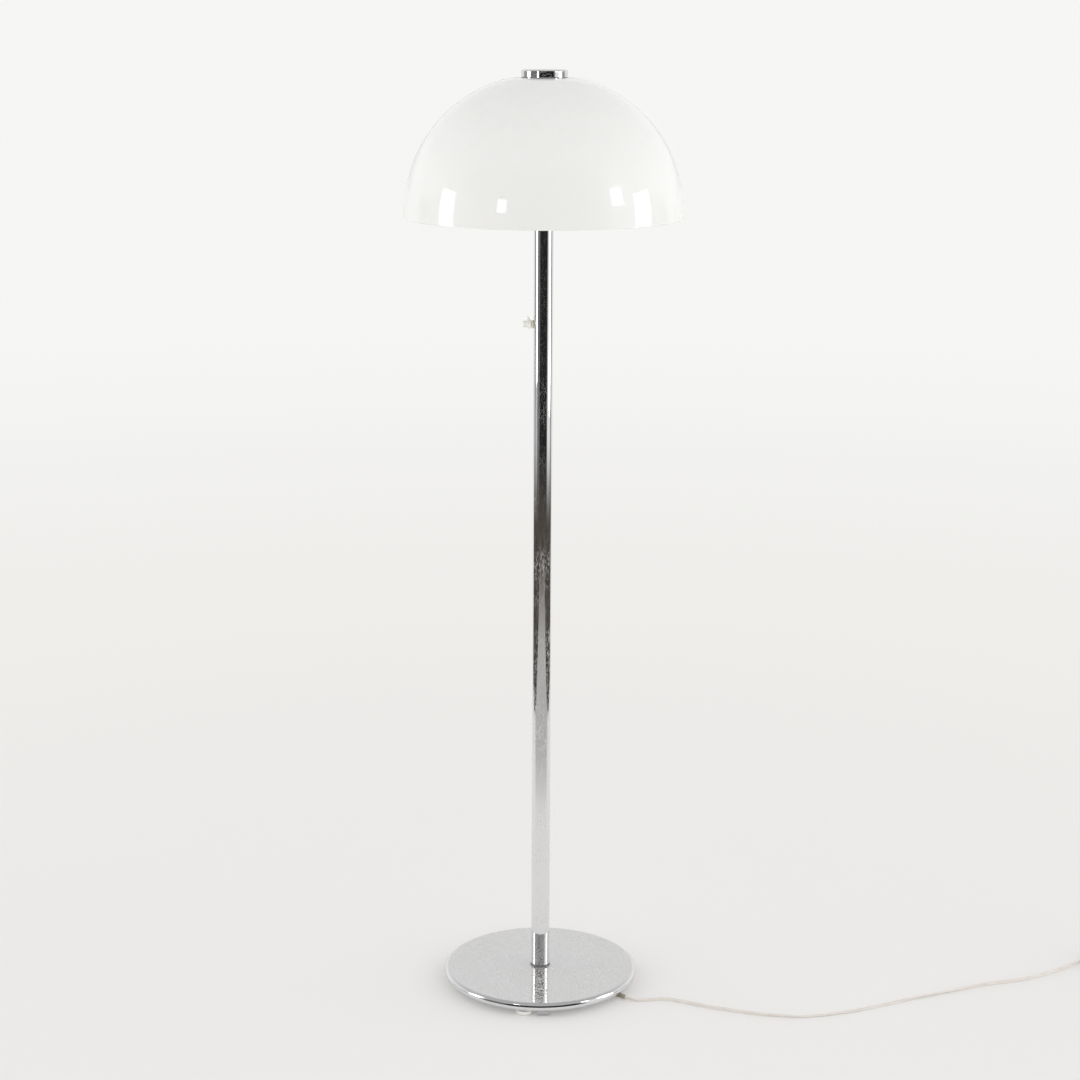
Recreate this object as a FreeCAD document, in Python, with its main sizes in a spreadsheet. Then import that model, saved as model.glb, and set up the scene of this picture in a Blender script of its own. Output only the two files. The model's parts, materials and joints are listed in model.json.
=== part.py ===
"""Mushroom floor lamp: a chromed base and stem under a domed opal shade.

Frame: +Z up, origin on the floor under the stem, front towards -Y. Millimetres and degrees.
Every piece is an object of one document, its sizes bound to the sheet "Sizes".
"""
import FreeCAD, Part
import math
import os
import re
import Sketcher
from FreeCAD import Placement, Rotation, Vector

# Driving dimensions. A name's first word says which piece it belongs to.
SIZES = {
    # base: a pressed chromed cover rolled over an iron weight, on three glides
    "base_radius": 147, "base_gap": 8, "base_thickness": 14, "base_edge": 7,
    "cover_wall": 1.2, "cover_lip_radius": 119, "cover_hole_radius": 12.6,
    "weight_radius": 144, "weight_heel": 4, "weight_slope": 6, "weight_chamfer": 5,
    "weight_bore": 5, "recess_radius": 34, "recess_depth": 4.5,
    "glide_radius": 11.5, "glide_place": 132, "glide_foot": 7.5, "glide_side": 2.5,
    "glide_curve": 7, "glide_recess": 4.2, "glide_floor": 3,
    "clip_place": 110, "clip_reach": 140.5, "clip_wall": 1.5, "clip_width": 16,
    "clip_tongue": 18, "clip_tip": 12, "clip_drop": 6.5, "clip_screw_place": 115.5,
    "glide_screw": 12, "clip_screw": 8,
    # stem
    "stem_radius": 14, "stem_wall": 1.5, "stem_top": 1190,
    "gasket_radius": 15.2, "gasket_height": 3,
    "foot_plug_height": 36, "plug_bore": 4, "foot_screw": 20, "foot_screw_place": 9,
    "top_plug_height": 30, "thread_depth": 18,
    # rotary switch on the stem's left
    "switch_height": 1012, "switch_width": 17, "switch_depth": 15, "switch_length": 26,
    "bush_radius": 5, "bush_reach": 17.2, "spindle_radius": 3, "spindle_reach": 27,
    "running_gap": 0.05, "end_play": 0.3, "hole_play": 0.1,
    "ring_radius": 5.9, "ring_height": 2.9, "ring_chamfer": 0.5,
    "knob_radius": 6.2, "knob_start": 17.6, "knob_step": 23.4, "knob_end": 29.4,
    "knob_draft": 0.4, "knob_chamfer": 0.5, "knob_grip": 4.75, "knob_round": 1,
    "wing_start": 18.4, "wing_shoulder": 20.2, "wing_reach": 11.5, "wing_round": 1,
    "wing_drop": 0.4, "wing_width": 4,
    # lampholder cluster under the shade
    "thread_radius": 5, "nipple_bore": 3.5, "nipple_top": 1204, "nut_flats": 14, "nut_height": 6,
    "cup_radius": 24, "cup_wall": 1.2, "cup_height": 36, "holder_height": 1208, "holder_tilt": 15,
    "lid_skirt": 6, "lid_screw": 4, "lid_screw_scale": 0.7,
    "terminal_radius": 9, "terminal_height": 8, "lead_radius": 1.5, "lead_hole": 2,
    "holder_nipple_start": 19, "nipple_step": 1, "holder_start": 32, "holder_neck": 11,
    "holder_shoulder": 10, "holder_curve": 12, "holder_round": 1.5,
    "holder_radius": 20, "holder_length": 50, "holder_bore": 16.2, "holder_floor": 8,
    "core_bore": 14.2, "core_floor": 9, "core_top": 46,
    "sleeve_wall": 0.7, "sleeve_step": 1, "sleeve_length": 24,
    "contact_radius": 3, "contact_height": 1,
    # bulbs: E27, 60 mm across and about 105 mm long
    "bulb_radius": 30, "bulb_neck": 13.5, "bulb_flare": 40, "bulb_wall": 1, "bulb_length": 105,
    "bulb_cap_radius": 13.2, "bulb_cap_length": 24, "bulb_cap_foot": 9, "bulb_cap_slope": 4,
    "bulb_tip_radius": 4, "bulb_tip": 2,
    # centre rod, shade and its cap
    "rod_start": 1219, "rod_top": 1367.7,
    "shade_radius": 200, "shade_wall": 3, "shade_rim": 1165, "shade_skirt": 5, "shade_edge": 1,
    "dome_radius": 195, "dome_angle": 73, "crown_flat": 36, "shade_hole": 5.3,
    "seat_radius": 30, "seat_wall": 2, "pad_radius": 28, "pad_wall": 1,
    "washer_radius": 32.2, "washer_wall": 0.8,
    "cap_radius": 33, "cap_height": 10, "cap_wall": 2.5, "cap_boss": 9, "cap_edge": 1.6,
    "cap_thread": 6.8,
    # mains lead
    "cord_radius": 2.7, "cord_exit_height": 4, "cable_bend": 9, "cable_sweep": 55,
    "bush_tail_radius": 3.2, "bush_body_radius": 3.7, "bush_mouth_radius": 3, "bush_length": 58,
    "bush_tail": 34, "bush_step": 1, "bush_collar": 8, "clamp_wall": 0.6,
    "clamp_half_width": 13, "clamp_length": 8, "clamp_back": 46, "clamp_screw_place": 9.5,
    "clamp_screw": 7, "clamp_screw_scale": 0.85,
    "coil_outer": 33, "coil_inner": 27, "coil_swell": 3, "coil_lift": 6, "coil_layers": 4,
    "mains_plug_thickness": 13.7, "mains_plug_width": 35.3, "mains_plug_length": 35.5,
    "mains_plug_neck": 18, "plug_waist": 5.5, "plug_flare": 9, "plug_shoulder": 8.5,
    "plug_wide_start": 22, "plug_wide_end": 31, "plug_corner": 3.5, "plug_round": 2.4,
    "neck_wall": 0.6, "neck_radius": 5, "neck_overlap": 4,
    "pin_radius": 2, "pin_length": 19, "pin_spacing": 18.6, "pin_round": 1,
    # screws and their holes
    "screw_radius": 2, "screw_head_radius": 3.6, "screw_head": 2.2, "screw_chamfer": 0.6,
    "screw_play": 0.05, "drill_play": 1, "drill_spare": 2,
}

GLIDE_ANGLES = (260, 20, 140)
CLIP_ANGLES = (272, 32, 152)
FOOT_SCREW_ANGLES = (20, 140, 260)
HOLDER_ANGLES = (90, 210, 330)
LID_SCREW_ANGLES = (30, 150, 270)

CORD_MOUTH = Vector(129.2, -80.7, 0)   # where the strain relief ends
CORD_HEADING = -42
CABLE_CORNER_BACK = 68                 # from the mouth to the lead's turn towards the stem

# The lead on the floor, from the strain relief to the coil, in the lamp's frame.
LEAD_ROUTE = (
    (138.3, -88.8, 3.4), (151.5, -93.4, 2.7), (167.5, -92.8, 2.7), (187.0, -89.6, 2.7),
    (211.0, -98.6, 2.7), (243.0, -114.6, 2.7), (285.0, -130.4, 2.7), (335.0, -146.4, 2.7),
    (392.0, -151.2, 2.7), (450.0, -136.6, 2.7), (505.0, -113.2, 2.7), (560.0, -84.0, 2.7),
    (620.0, -61.0, 2.7), (680.0, -31.6, 2.7), (745.0, -13.4, 2.7), (800.0, 21.6, 2.7),
    (845.0, 60.0, 2.7),
)
COIL_START = Vector(886, 90, 0)
COIL_HEADING = 36
# From the coil's top turn down to the plug, in steps of (length, heading, height reached).
TAIL_STEPS = ((20, 222, 20.5), (24, 243, 15.5), (26, 262, 10.6), (26, 281, 7.6), (22, 293, 6.85))

doc = FreeCAD.newDocument("mushroom_floor_lamp")
sheet = doc.addObject("Spreadsheet::Sheet", "Sizes")
nodes = []


def fill_sheet():
    for row, (alias, number) in enumerate(SIZES.items(), start=1):
        sheet.set("A%d" % row, alias.replace("_", " "))
        sheet.set("B%d" % row, str(number))
        sheet.setAlias("B%d" % row, alias)
    doc.recompute()


def linked(text):
    """The expression with each size's name pointing into the sheet."""
    def point(match):
        word = match.group()
        return "Sizes." + word if word in SIZES else word
    return re.sub(r"[a-z_][a-z_0-9]*", point, str(text))


def size(text):
    """The number that an expression over the sheet gives."""
    return float(sheet.evalExpression(linked(text)))


def bind(item, **properties):
    for name, text in properties.items():
        item.setExpression(name.replace("__", "."), linked(text))
    return item


def node(item, name):
    """Marks an object as one of the lamp's pieces."""
    item.Label = name
    nodes.append(item)
    return item


def polar(radius, angle, height=0.0):
    turn = math.radians(angle)
    return Vector(radius * math.cos(turn), radius * math.sin(turn), height)


def place(item, height="0", radius="0", angle=0, turn=None):
    """Puts an object at a polar place, with its height bound to the sheet."""
    spot = polar(size(radius), angle, size(height))
    item.Placement = Placement(spot, turn or Rotation(Vector(0, 0, 1), angle))
    item.setExpression("Placement.Base.z", linked(height))
    return item


def new_body(name):
    body = doc.addObject("PartDesign::Body", name)
    body.Label = name
    return body


def origin_plane(body, role):
    return [plane for plane in body.Origin.OriginFeatures if plane.Role == role][0]


def arc_between(start, end, radius, side):
    """A circular arc; side is 1 where it turns left from start to end, -1 right."""
    chord = end - start
    middle = (start + end) * 0.5
    rise = math.sqrt(max(radius ** 2 - chord.Length ** 2 / 4, 0))
    left = Vector(-chord.y, chord.x, 0).normalize()
    centre = middle + left * rise * side
    first, last = (start, end) if side > 0 else (end, start)
    angles = [math.atan2(point.y - centre.y, point.x - centre.x) for point in (first, last)]
    return Part.ArcOfCircle(Part.Circle(centre, Vector(0, 0, 1), radius), angles[0], angles[1])


def outline(body, steps, plane="XZ_Plane"):
    """A closed sketch through corners (across, up), each bound to the sheet.

    A corner with two more entries, a radius and a side, is reached by an arc.
    """
    sketch = body.newObject("Sketcher::SketchObject", body.Name + "_outline")
    sketch.AttachmentSupport = [(origin_plane(body, plane), "")]
    sketch.MapMode = "FlatFace"
    corners = [Vector(size(step[0]), size(step[1]), 0) for step in steps]
    ends = []
    for index, step in enumerate(steps):
        following = (index + 1) % len(steps)
        reached = steps[following]
        if len(reached) == 2:
            edge = Part.LineSegment(corners[index], corners[following])
            ends.append((1, 2))
        else:
            edge = arc_between(corners[index], corners[following], size(reached[2]), reached[3])
            ends.append((1, 2) if reached[3] > 0 else (2, 1))
        sketch.addGeometry(edge, False)
        if len(reached) > 2:
            fix(sketch, "Radius", (index,), size(reached[2]), "arc_%d" % index, reached[2])
    for index, step in enumerate(steps):
        before = index - 1 if index else len(steps) - 1
        sketch.addConstraint(Sketcher.Constraint(
            "Coincident", before, ends[before][1], index, ends[index][0]))
        here = (index, ends[index][0])
        for kind, axis, value, text in (("DistanceX", -2, corners[index].x, step[0]),
                                        ("DistanceY", -1, corners[index].y, step[1])):
            if abs(value) < 1e-9:
                sketch.addConstraint(Sketcher.Constraint("PointOnObject", *here, axis))
            else:
                fix(sketch, kind, (-1, 1) + here, value, "%s_%d" % (kind.lower(), index), text)
    return sketch


def fix(sketch, kind, places, value, name, text):
    number = sketch.addConstraint(Sketcher.Constraint(kind, *places, value))
    sketch.renameConstraint(number, name)
    sketch.setExpression("Constraints." + name, linked(text))


def turned(name, steps):
    """A body turned about its own Z axis."""
    body = new_body(name)
    sketch = outline(body, steps)
    turn = body.newObject("PartDesign::Revolution", name + "_turned")
    turn.Profile = sketch
    turn.ReferenceAxis = (sketch, ["V_Axis"])
    turn.Angle = 360
    return body


def pad(body, sketch, length):
    """A pad of the sketch, half its length on each side."""
    block = body.newObject("PartDesign::Pad", body.Name + "_pad")
    block.Profile = sketch
    block.SideType = "Symmetric"
    bind(block, Length=length)
    return block


def cylinder(name, radius, height, start="0"):
    item = doc.addObject("Part::Cylinder", name)
    bind(item, Radius=radius, Height=height, Placement__Base__z=start)
    return item


def box(name, length, width, height, start="0"):
    """A box centred on its own Z axis."""
    item = doc.addObject("Part::Box", name)
    bind(item, Length=length, Width=width, Height=height, Placement__Base__z=start,
         Placement__Base__x="-(%s) / 2" % length, Placement__Base__y="-(%s) / 2" % width)
    return item


def cut(name, base, tools):
    """The base less one tool, or less several joined first."""
    item = doc.addObject("Part::Cut", name)
    item.Base = base
    item.Tool = tools[0] if len(tools) == 1 else together(name + "_tools", tools)
    return item


def together(name, members):
    item = doc.addObject("Part::Compound", name)
    item.Links = members
    return item


def ring(name, outer, inner, height, start="0"):
    return cut(name, cylinder(name + "_disc", outer, height, start),
               [cylinder(name + "_hole", inner, height, start)])


def hex_nut(name, start):
    prism = doc.addObject("Part::Prism", name + "_prism")
    prism.Polygon = 6
    bind(prism, Circumradius="nut_flats / 2 / cos(30)", Height="nut_height",
         Placement__Base__z=start)
    return cut(name, prism, [cylinder(name + "_hole", "thread_radius", "nut_height", start)])


def screw(name, length, scale="1"):
    """A pan-head screw: its head hangs below z 0 and its shank stands above."""
    head, shank = "screw_head_radius * %s" % scale, "screw_radius * %s" % scale
    crown = "-screw_head * %s" % scale
    return turned(name, [
        ("0", crown), (head + " - screw_chamfer", crown), (head, crown + " + screw_chamfer"),
        (head, "0"), (shank, "0"), (shank, length), ("0", length)])


def screw_row(name, length, height, radius, angles):
    """Like screws at like places round the stem, heads down."""
    members = [place(screw("%s_%d" % (name, number), length), height, radius, angle)
               for number, angle in enumerate(angles, start=1)]
    return node(together(name, members), name)


def drills(name, height, start, radius, angles):
    """Screw holes at like places round the stem."""
    return [place(cylinder("%s_%d" % (name, number), SCREW_HOLE, height), start, radius, angle)
            for number, angle in enumerate(angles, start=1)]


def rod(name, radius, start, end):
    """A plain rod along its own Z, as a turned body that can be placed."""
    return turned(name, [("0", start), (radius, start), (radius, end), ("0", end)])


def solid(name, shape):
    """A piece whose shape is worked out here."""
    item = doc.addObject("Part::Feature", name)
    item.Shape = shape
    return node(item, name)


# ---------------------------------------------------------------- base

WEIGHT_BOTTOM = "base_gap + cover_wall"
WEIGHT_TOP = "base_gap + base_thickness - cover_wall"
EDGE_CENTRE = "base_radius - base_edge"
RECESS_TOP = "base_gap + cover_wall + recess_depth"
SCREW_HOLE = "screw_radius + screw_play"


def base_cover():
    inner_edge = "base_edge - cover_wall"
    middle = "base_gap + base_edge"
    shell = turned("cover_shell", [
        ("cover_lip_radius", "base_gap"),
        (EDGE_CENTRE, "base_gap"),
        ("base_radius", middle, "base_edge", 1),
        (EDGE_CENTRE, "base_gap + base_thickness", "base_edge", 1),
        ("cover_hole_radius", "base_gap + base_thickness"),
        ("cover_hole_radius", WEIGHT_TOP),
        (EDGE_CENTRE, WEIGHT_TOP),
        ("base_radius - cover_wall", middle, inner_edge, -1),
        (EDGE_CENTRE, WEIGHT_BOTTOM, inner_edge, -1),
        ("cover_lip_radius", WEIGHT_BOTTOM)])
    holes = drills("cover_drill", "cover_wall + 2 * drill_play", "base_gap - drill_play",
                   "glide_place", GLIDE_ANGLES)
    node(cut("base_cover", shell, holes), "base_cover")


def base_weight():
    disc = turned("weight_disc", [
        ("weight_bore", WEIGHT_TOP), ("weight_bore", RECESS_TOP), ("recess_radius", RECESS_TOP),
        ("recess_radius", WEIGHT_BOTTOM), ("weight_radius - weight_heel", WEIGHT_BOTTOM),
        ("weight_radius", WEIGHT_BOTTOM + " + weight_heel"),
        ("weight_radius", WEIGHT_TOP + " - weight_chamfer"),
        ("weight_radius - weight_slope", WEIGHT_TOP)])
    holes = drills("glide_drill", "glide_floor + glide_screw + drill_spare - base_gap",
                   "base_gap", "glide_place", GLIDE_ANGLES)
    holes += drills("clip_drill", "clip_screw - clip_wall + drill_spare", "base_gap",
                    "clip_screw_place", CLIP_ANGLES)
    holes += drills("foot_drill", "foot_screw", "base_gap", "foot_screw_place",
                    FOOT_SCREW_ANGLES)
    holes += clamp_drills("weight_clamp_drill", "base_gap", "clamp_screw + drill_spare")
    node(cut("base_weight", disc, holes), "base_weight")


def glides():
    members = []
    for number, angle in enumerate(GLIDE_ANGLES, start=1):
        glide = turned("glide_%d" % number, [
            (SCREW_HOLE, "base_gap"), (SCREW_HOLE, "glide_floor"),
            ("glide_recess", "glide_floor"), ("glide_recess", "0"), ("glide_foot", "0"),
            ("glide_radius", "base_gap - glide_side", "glide_curve", 1),
            ("glide_radius", "base_gap")])
        members.append(place(glide, "0", "glide_place", angle))
    node(together("glides", members), "glides")
    screw_row("glide_screws", "glide_screw", "glide_floor", "glide_place", GLIDE_ANGLES)


def edge_clips():
    """Steel clips that hold the rolled lip, each with a tongue turned down at the rim."""
    members = []
    for number, angle in enumerate(CLIP_ANGLES, start=1):
        leg = doc.addObject("Part::Box", "clip_leg_%d" % number)
        bind(leg, Length="clip_reach - clip_place", Width="clip_width", Height="clip_wall",
             Placement__Base__x="clip_place", Placement__Base__y="-clip_width / 2",
             Placement__Base__z="base_gap - clip_wall")
        hole = bind(cylinder("clip_hole_%d" % number, SCREW_HOLE, "clip_wall",
                             "base_gap - clip_wall"), Placement__Base__x="clip_screw_place")
        tongue = new_body("clip_tongue_%d" % number)
        sheet_outline = outline(tongue, [
            ("-clip_tongue / 2", "base_gap"), ("-clip_tip / 2", "base_gap - clip_drop"),
            ("clip_tip / 2", "base_gap - clip_drop"), ("clip_tongue / 2", "base_gap")],
            "YZ_Plane")
        pad(tongue, sheet_outline, "clip_wall")
        bind(tongue, Placement__Base__x="clip_reach - clip_wall / 2")
        fuse = doc.addObject("Part::Fuse", "clip_%d" % number)
        fuse.Base = cut("clip_drilled_%d" % number, leg, [hole])
        fuse.Tool = tongue
        members.append(place(fuse, "0", "0", angle))
    node(together("edge_clips", members), "edge_clips")
    screw_row("clip_screws", "clip_screw", "base_gap - clip_wall", "clip_screw_place",
              CLIP_ANGLES)


# ---------------------------------------------------------------- stem

GASKET_BOTTOM = "base_gap + base_thickness"
OUTWARD = Rotation(Vector(0, 1, 0), -90)   # a piece's own +Z points to -X and its +X up


def stem():
    node(ring("stem_gasket", "gasket_radius", "cover_hole_radius", "gasket_height",
              GASKET_BOTTOM), "stem_gasket")
    bottom = "base_gap + base_thickness + gasket_height"
    inner = "stem_radius - stem_wall"
    tube = ring("stem_tube_drawn", "stem_radius", inner, "stem_top - (%s)" % bottom, bottom)
    switch_hole = cylinder("stem_switch_hole", "bush_radius + hole_play",
                           "stem_radius + drill_play")
    place(switch_hole, "switch_height", turn=OUTWARD)
    node(cut("stem_tube", tube, [switch_hole]), "stem_tube")

    plug = ring("foot_plug_turned", inner, "plug_bore", "foot_plug_height", WEIGHT_TOP)
    depth = "%s + foot_screw + drill_spare - (%s)" % (RECESS_TOP, WEIGHT_TOP)
    holes = drills("foot_tap", depth, WEIGHT_TOP, "foot_screw_place", FOOT_SCREW_ANGLES)
    node(cut("foot_plug", plug, holes), "foot_plug")
    screw_row("foot_screws", "foot_screw", RECESS_TOP, "foot_screw_place", FOOT_SCREW_ANGLES)

    top = turned("top_plug", [
        ("plug_bore", "0"), (inner, "0"), (inner, "top_plug_height"),
        ("thread_radius", "top_plug_height"),
        ("thread_radius", "top_plug_height - thread_depth"),
        ("plug_bore", "top_plug_height - thread_depth")])
    node(place(top, "stem_top - top_plug_height"), "top_plug")


# ---------------------------------------------------------------- switch


def switch():
    block = box("switch_body", "switch_width", "switch_depth", "switch_length",
                "switch_height - switch_length / 2")
    node(block, "switch_body")
    face = "switch_width / 2"
    bush = turned("switch_bush", [
        ("spindle_radius + running_gap", face), ("bush_radius", face),
        ("bush_radius", "bush_reach"), ("spindle_radius + running_gap", "bush_reach")])
    node(place(bush, "switch_height", turn=OUTWARD), "switch_bush")
    nut = turned("switch_nut", [
        ("bush_radius", "stem_radius"), ("ring_radius", "stem_radius"),
        ("ring_radius", "stem_radius + ring_height - ring_chamfer"),
        ("ring_radius - ring_chamfer", "stem_radius + ring_height"),
        ("bush_radius", "stem_radius + ring_height")])
    node(place(nut, "switch_height", turn=OUTWARD), "switch_nut")
    spindle = rod("switch_spindle", "spindle_radius", face + " + end_play", "spindle_reach")
    node(place(spindle, "switch_height", turn=OUTWARD), "switch_spindle")
    node(place(knob(), "switch_height", turn=OUTWARD), "switch_knob")


def knob():
    """A stepped knob with one wing, which shows how far it is turned."""
    body = turned("switch_knob", [
        ("spindle_radius", "knob_start"), ("knob_radius", "knob_start"),
        ("knob_radius - knob_draft", "knob_step - knob_chamfer"),
        ("knob_radius - knob_draft - knob_chamfer", "knob_step"),
        ("knob_grip", "knob_step"), ("knob_grip", "knob_end - knob_round"),
        ("knob_grip - knob_round", "knob_end", "knob_round", 1), ("0", "knob_end"),
        ("0", "spindle_reach"), ("spindle_radius", "spindle_reach")])
    wing = outline(body, [
        ("knob_grip", "wing_start"), ("wing_reach - wing_round", "wing_shoulder"),
        ("wing_reach", "wing_shoulder + wing_round"), ("wing_reach", "knob_step - wing_drop"),
        ("wing_reach - wing_round", "knob_step"), ("knob_grip", "knob_step")])
    pad(body, wing, "wing_width")
    return body


# ---------------------------------------------------------------- lampholder cluster

CUP_TOP = "stem_top + cup_height"
LID_SCREW_HEIGHT = "stem_top + cup_height - lid_skirt / 2"
CORE_START = "holder_start + holder_floor"
CORE_FLOOR = CORE_START + " + core_floor"


def along_holder(angle):
    """A piece's own +Z points out along a lampholder, from the cluster's middle."""
    tilt = size("holder_tilt")
    direction = Vector(polar(math.cos(math.radians(tilt)), angle, math.sin(math.radians(tilt))))
    return Rotation(Vector(0, 0, 1), direction)


def on_holder(item, angle):
    return place(item, "holder_height", turn=along_holder(angle))


def sideways(angle):
    return Rotation(Vector(0, 0, 1), polar(1, angle))


def cluster():
    node(ring("hub_nipple", "thread_radius", "nipple_bore",
              "nipple_top - stem_top + thread_depth", "stem_top - thread_depth"), "hub_nipple")
    node(hex_nut("hub_nut", "stem_top + cup_wall"), "hub_nut")

    inner = "cup_radius - cup_wall"
    shell = turned("cup_shell", [
        ("thread_radius", "0"), ("cup_radius", "0"), ("cup_radius", "cup_height"),
        (inner, "cup_height"), (inner, "cup_wall"), ("thread_radius", "cup_wall")])
    place(shell, "stem_top")
    holes = [on_holder(cylinder("cup_port_%d" % angle, "thread_radius", "holder_start"), angle)
             for angle in HOLDER_ANGLES]
    holes += lid_drills("cup_drill")
    node(cut("cluster_cup", shell, holes), "cluster_cup")

    lid_outer = "cup_radius + cup_wall"
    lid = turned("lid_shell", [
        ("thread_radius", "0"), ("cup_radius", "0"), ("cup_radius", "-lid_skirt"),
        (lid_outer, "-lid_skirt"), (lid_outer, "cup_wall"), ("thread_radius", "cup_wall")])
    place(lid, CUP_TOP)
    node(cut("cluster_lid", lid, lid_drills("lid_drill")), "cluster_lid")
    members = [place(screw("lid_screw_%d" % angle, "lid_screw", "lid_screw_scale"),
                     LID_SCREW_HEIGHT, lid_outer, angle, sideways(angle + 180))
               for angle in LID_SCREW_ANGLES]
    node(together("lid_screws", members), "lid_screws")

    node(cylinder("terminal_block", "terminal_radius", "terminal_height", "nipple_top"),
         "terminal_block")
    leads, nipples, contacts = [], [], []
    for angle in HOLDER_ANGLES:
        lead = rod("holder_lead_%d" % angle, "lead_radius", "terminal_radius", CORE_START)
        nipple = ring("holder_nipple_%d" % angle, "thread_radius", "nipple_bore",
                      CORE_START + " - nipple_step - holder_nipple_start",
                      "holder_nipple_start")
        contact = rod("holder_contact_%d" % angle, "contact_radius", CORE_FLOOR,
                      CORE_FLOOR + " + contact_height")
        leads.append(on_holder(lead, angle))
        nipples.append(on_holder(nipple, angle))
        contacts.append(on_holder(contact, angle))
    node(together("holder_leads", leads), "holder_leads")
    node(together("holder_nipples", nipples), "holder_nipples")
    node(together("holder_contacts", contacts), "holder_contacts")


def lid_drills(name):
    return [place(cylinder("%s_%d" % (name, angle), "screw_radius * lid_screw_scale + screw_play",
                           "holder_start"), LID_SCREW_HEIGHT, "0", angle, sideways(angle))
            for angle in LID_SCREW_ANGLES]


def lampholder(number, angle):
    name = "holder_%d" % number
    top = "holder_start + holder_length"
    shell = turned(name + "_shell", [
        ("thread_radius", "holder_start"), ("holder_neck", "holder_start"),
        ("holder_radius", "holder_start + holder_shoulder", "holder_curve", 1),
        ("holder_radius", top + " - holder_round"),
        ("holder_radius - holder_round", top, "holder_round", 1),
        ("holder_bore", top), ("holder_bore", CORE_START), ("thread_radius", CORE_START)])
    node(on_holder(shell, angle), name + "_shell")
    core = turned(name + "_core", [
        ("lead_hole", CORE_START), ("holder_bore", CORE_START),
        ("holder_bore", "holder_start + core_top"), ("core_bore", "holder_start + core_top"),
        ("core_bore", CORE_FLOOR), ("lead_hole", CORE_FLOOR)])
    node(on_holder(core, angle), name + "_core")
    start = CORE_FLOOR + " + sleeve_step"
    sleeve = turned(name + "_sleeve", [
        ("core_bore - sleeve_wall", start), ("core_bore", start),
        ("core_bore", start + " + sleeve_length"),
        ("core_bore - sleeve_wall", start + " + sleeve_length")])
    node(on_holder(sleeve, angle), name + "_sleeve")


def bulb(number, angle):
    """A pear-shaped bulb: a straight neck, a flare and a round end, on its screw cap."""
    name = "bulb_%d" % number
    tip = CORE_FLOOR + " + contact_height + end_play"
    cap_start = "%s + bulb_tip" % tip
    cap_end = "%s + bulb_cap_length" % tip
    centre = "%s + bulb_length - bulb_radius" % tip
    reach = "sqrt((bulb_radius + bulb_flare)^2 - (bulb_neck + bulb_flare)^2)"
    share = "bulb_radius / (bulb_radius + bulb_flare)"
    join = ("(bulb_neck + bulb_flare) * %s" % share, "%s - %s * %s" % (centre, reach, share))
    inner = "(bulb_radius - bulb_wall) / (bulb_radius + bulb_flare)"
    inner_join = ("(bulb_neck + bulb_flare) * %s" % inner,
                  "%s - %s * %s" % (centre, reach, inner))
    glass = turned(name + "_glass", [
        ("bulb_neck - bulb_wall", cap_end), ("bulb_neck", cap_end),
        ("bulb_neck", "%s - %s" % (centre, reach)),
        join + ("bulb_flare", -1),
        ("bulb_radius", centre, "bulb_radius", 1),
        ("0", centre + " + bulb_radius", "bulb_radius", 1),
        ("0", centre + " + bulb_radius - bulb_wall"),
        ("bulb_radius - bulb_wall", centre, "bulb_radius - bulb_wall", -1),
        inner_join + ("bulb_radius - bulb_wall", -1),
        ("bulb_neck - bulb_wall", "%s - %s" % (centre, reach), "bulb_flare + bulb_wall", 1)])
    node(on_holder(glass, angle), name + "_glass")
    cap = turned(name + "_cap", [
        ("0", tip), ("bulb_tip_radius", tip), ("bulb_tip_radius", cap_start),
        ("bulb_cap_foot", cap_start), ("bulb_cap_radius", cap_start + " + bulb_cap_slope"),
        ("bulb_cap_radius", cap_end), ("0", cap_end)])
    node(on_holder(cap, angle), name + "_cap")


# ---------------------------------------------------------------- shade and cap

JOIN_ACROSS = "shade_radius - dome_radius + dome_radius * cos(dome_angle)"
JOIN_UP = "shade_skirt + dome_radius * sin(dome_angle)"
CROWN_RADIUS = "(%s - crown_flat) / cos(dome_angle)" % JOIN_ACROSS
CROWN_UP = "%s + (%s) * (1 - sin(dome_angle))" % (JOIN_UP, CROWN_RADIUS)
INNER_JOIN_ACROSS = "shade_radius - dome_radius + (dome_radius - shade_wall) * cos(dome_angle)"
INNER_JOIN_UP = "shade_skirt + (dome_radius - shade_wall) * sin(dome_angle)"


def shade():
    """A dome of one arc, eased into a flat crown, over a short upright skirt."""
    dome = turned("shade", [
        ("shade_radius - shade_edge", "0"),
        ("shade_radius", "shade_edge", "shade_edge", 1),
        ("shade_radius", "shade_skirt"),
        (JOIN_ACROSS, JOIN_UP, "dome_radius", 1),
        ("crown_flat", CROWN_UP, CROWN_RADIUS, 1),
        ("shade_hole", CROWN_UP),
        ("shade_hole", CROWN_UP + " - shade_wall"),
        ("crown_flat", CROWN_UP + " - shade_wall"),
        (INNER_JOIN_ACROSS, INNER_JOIN_UP, CROWN_RADIUS + " - shade_wall", -1),
        ("shade_radius - shade_wall", "shade_skirt", "dome_radius - shade_wall", -1),
        ("shade_radius - shade_wall", "shade_edge"),
        ("shade_radius - shade_wall + shade_edge", "0", "shade_edge", 1)])
    node(place(dome, "shade_rim"), "shade")


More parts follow.
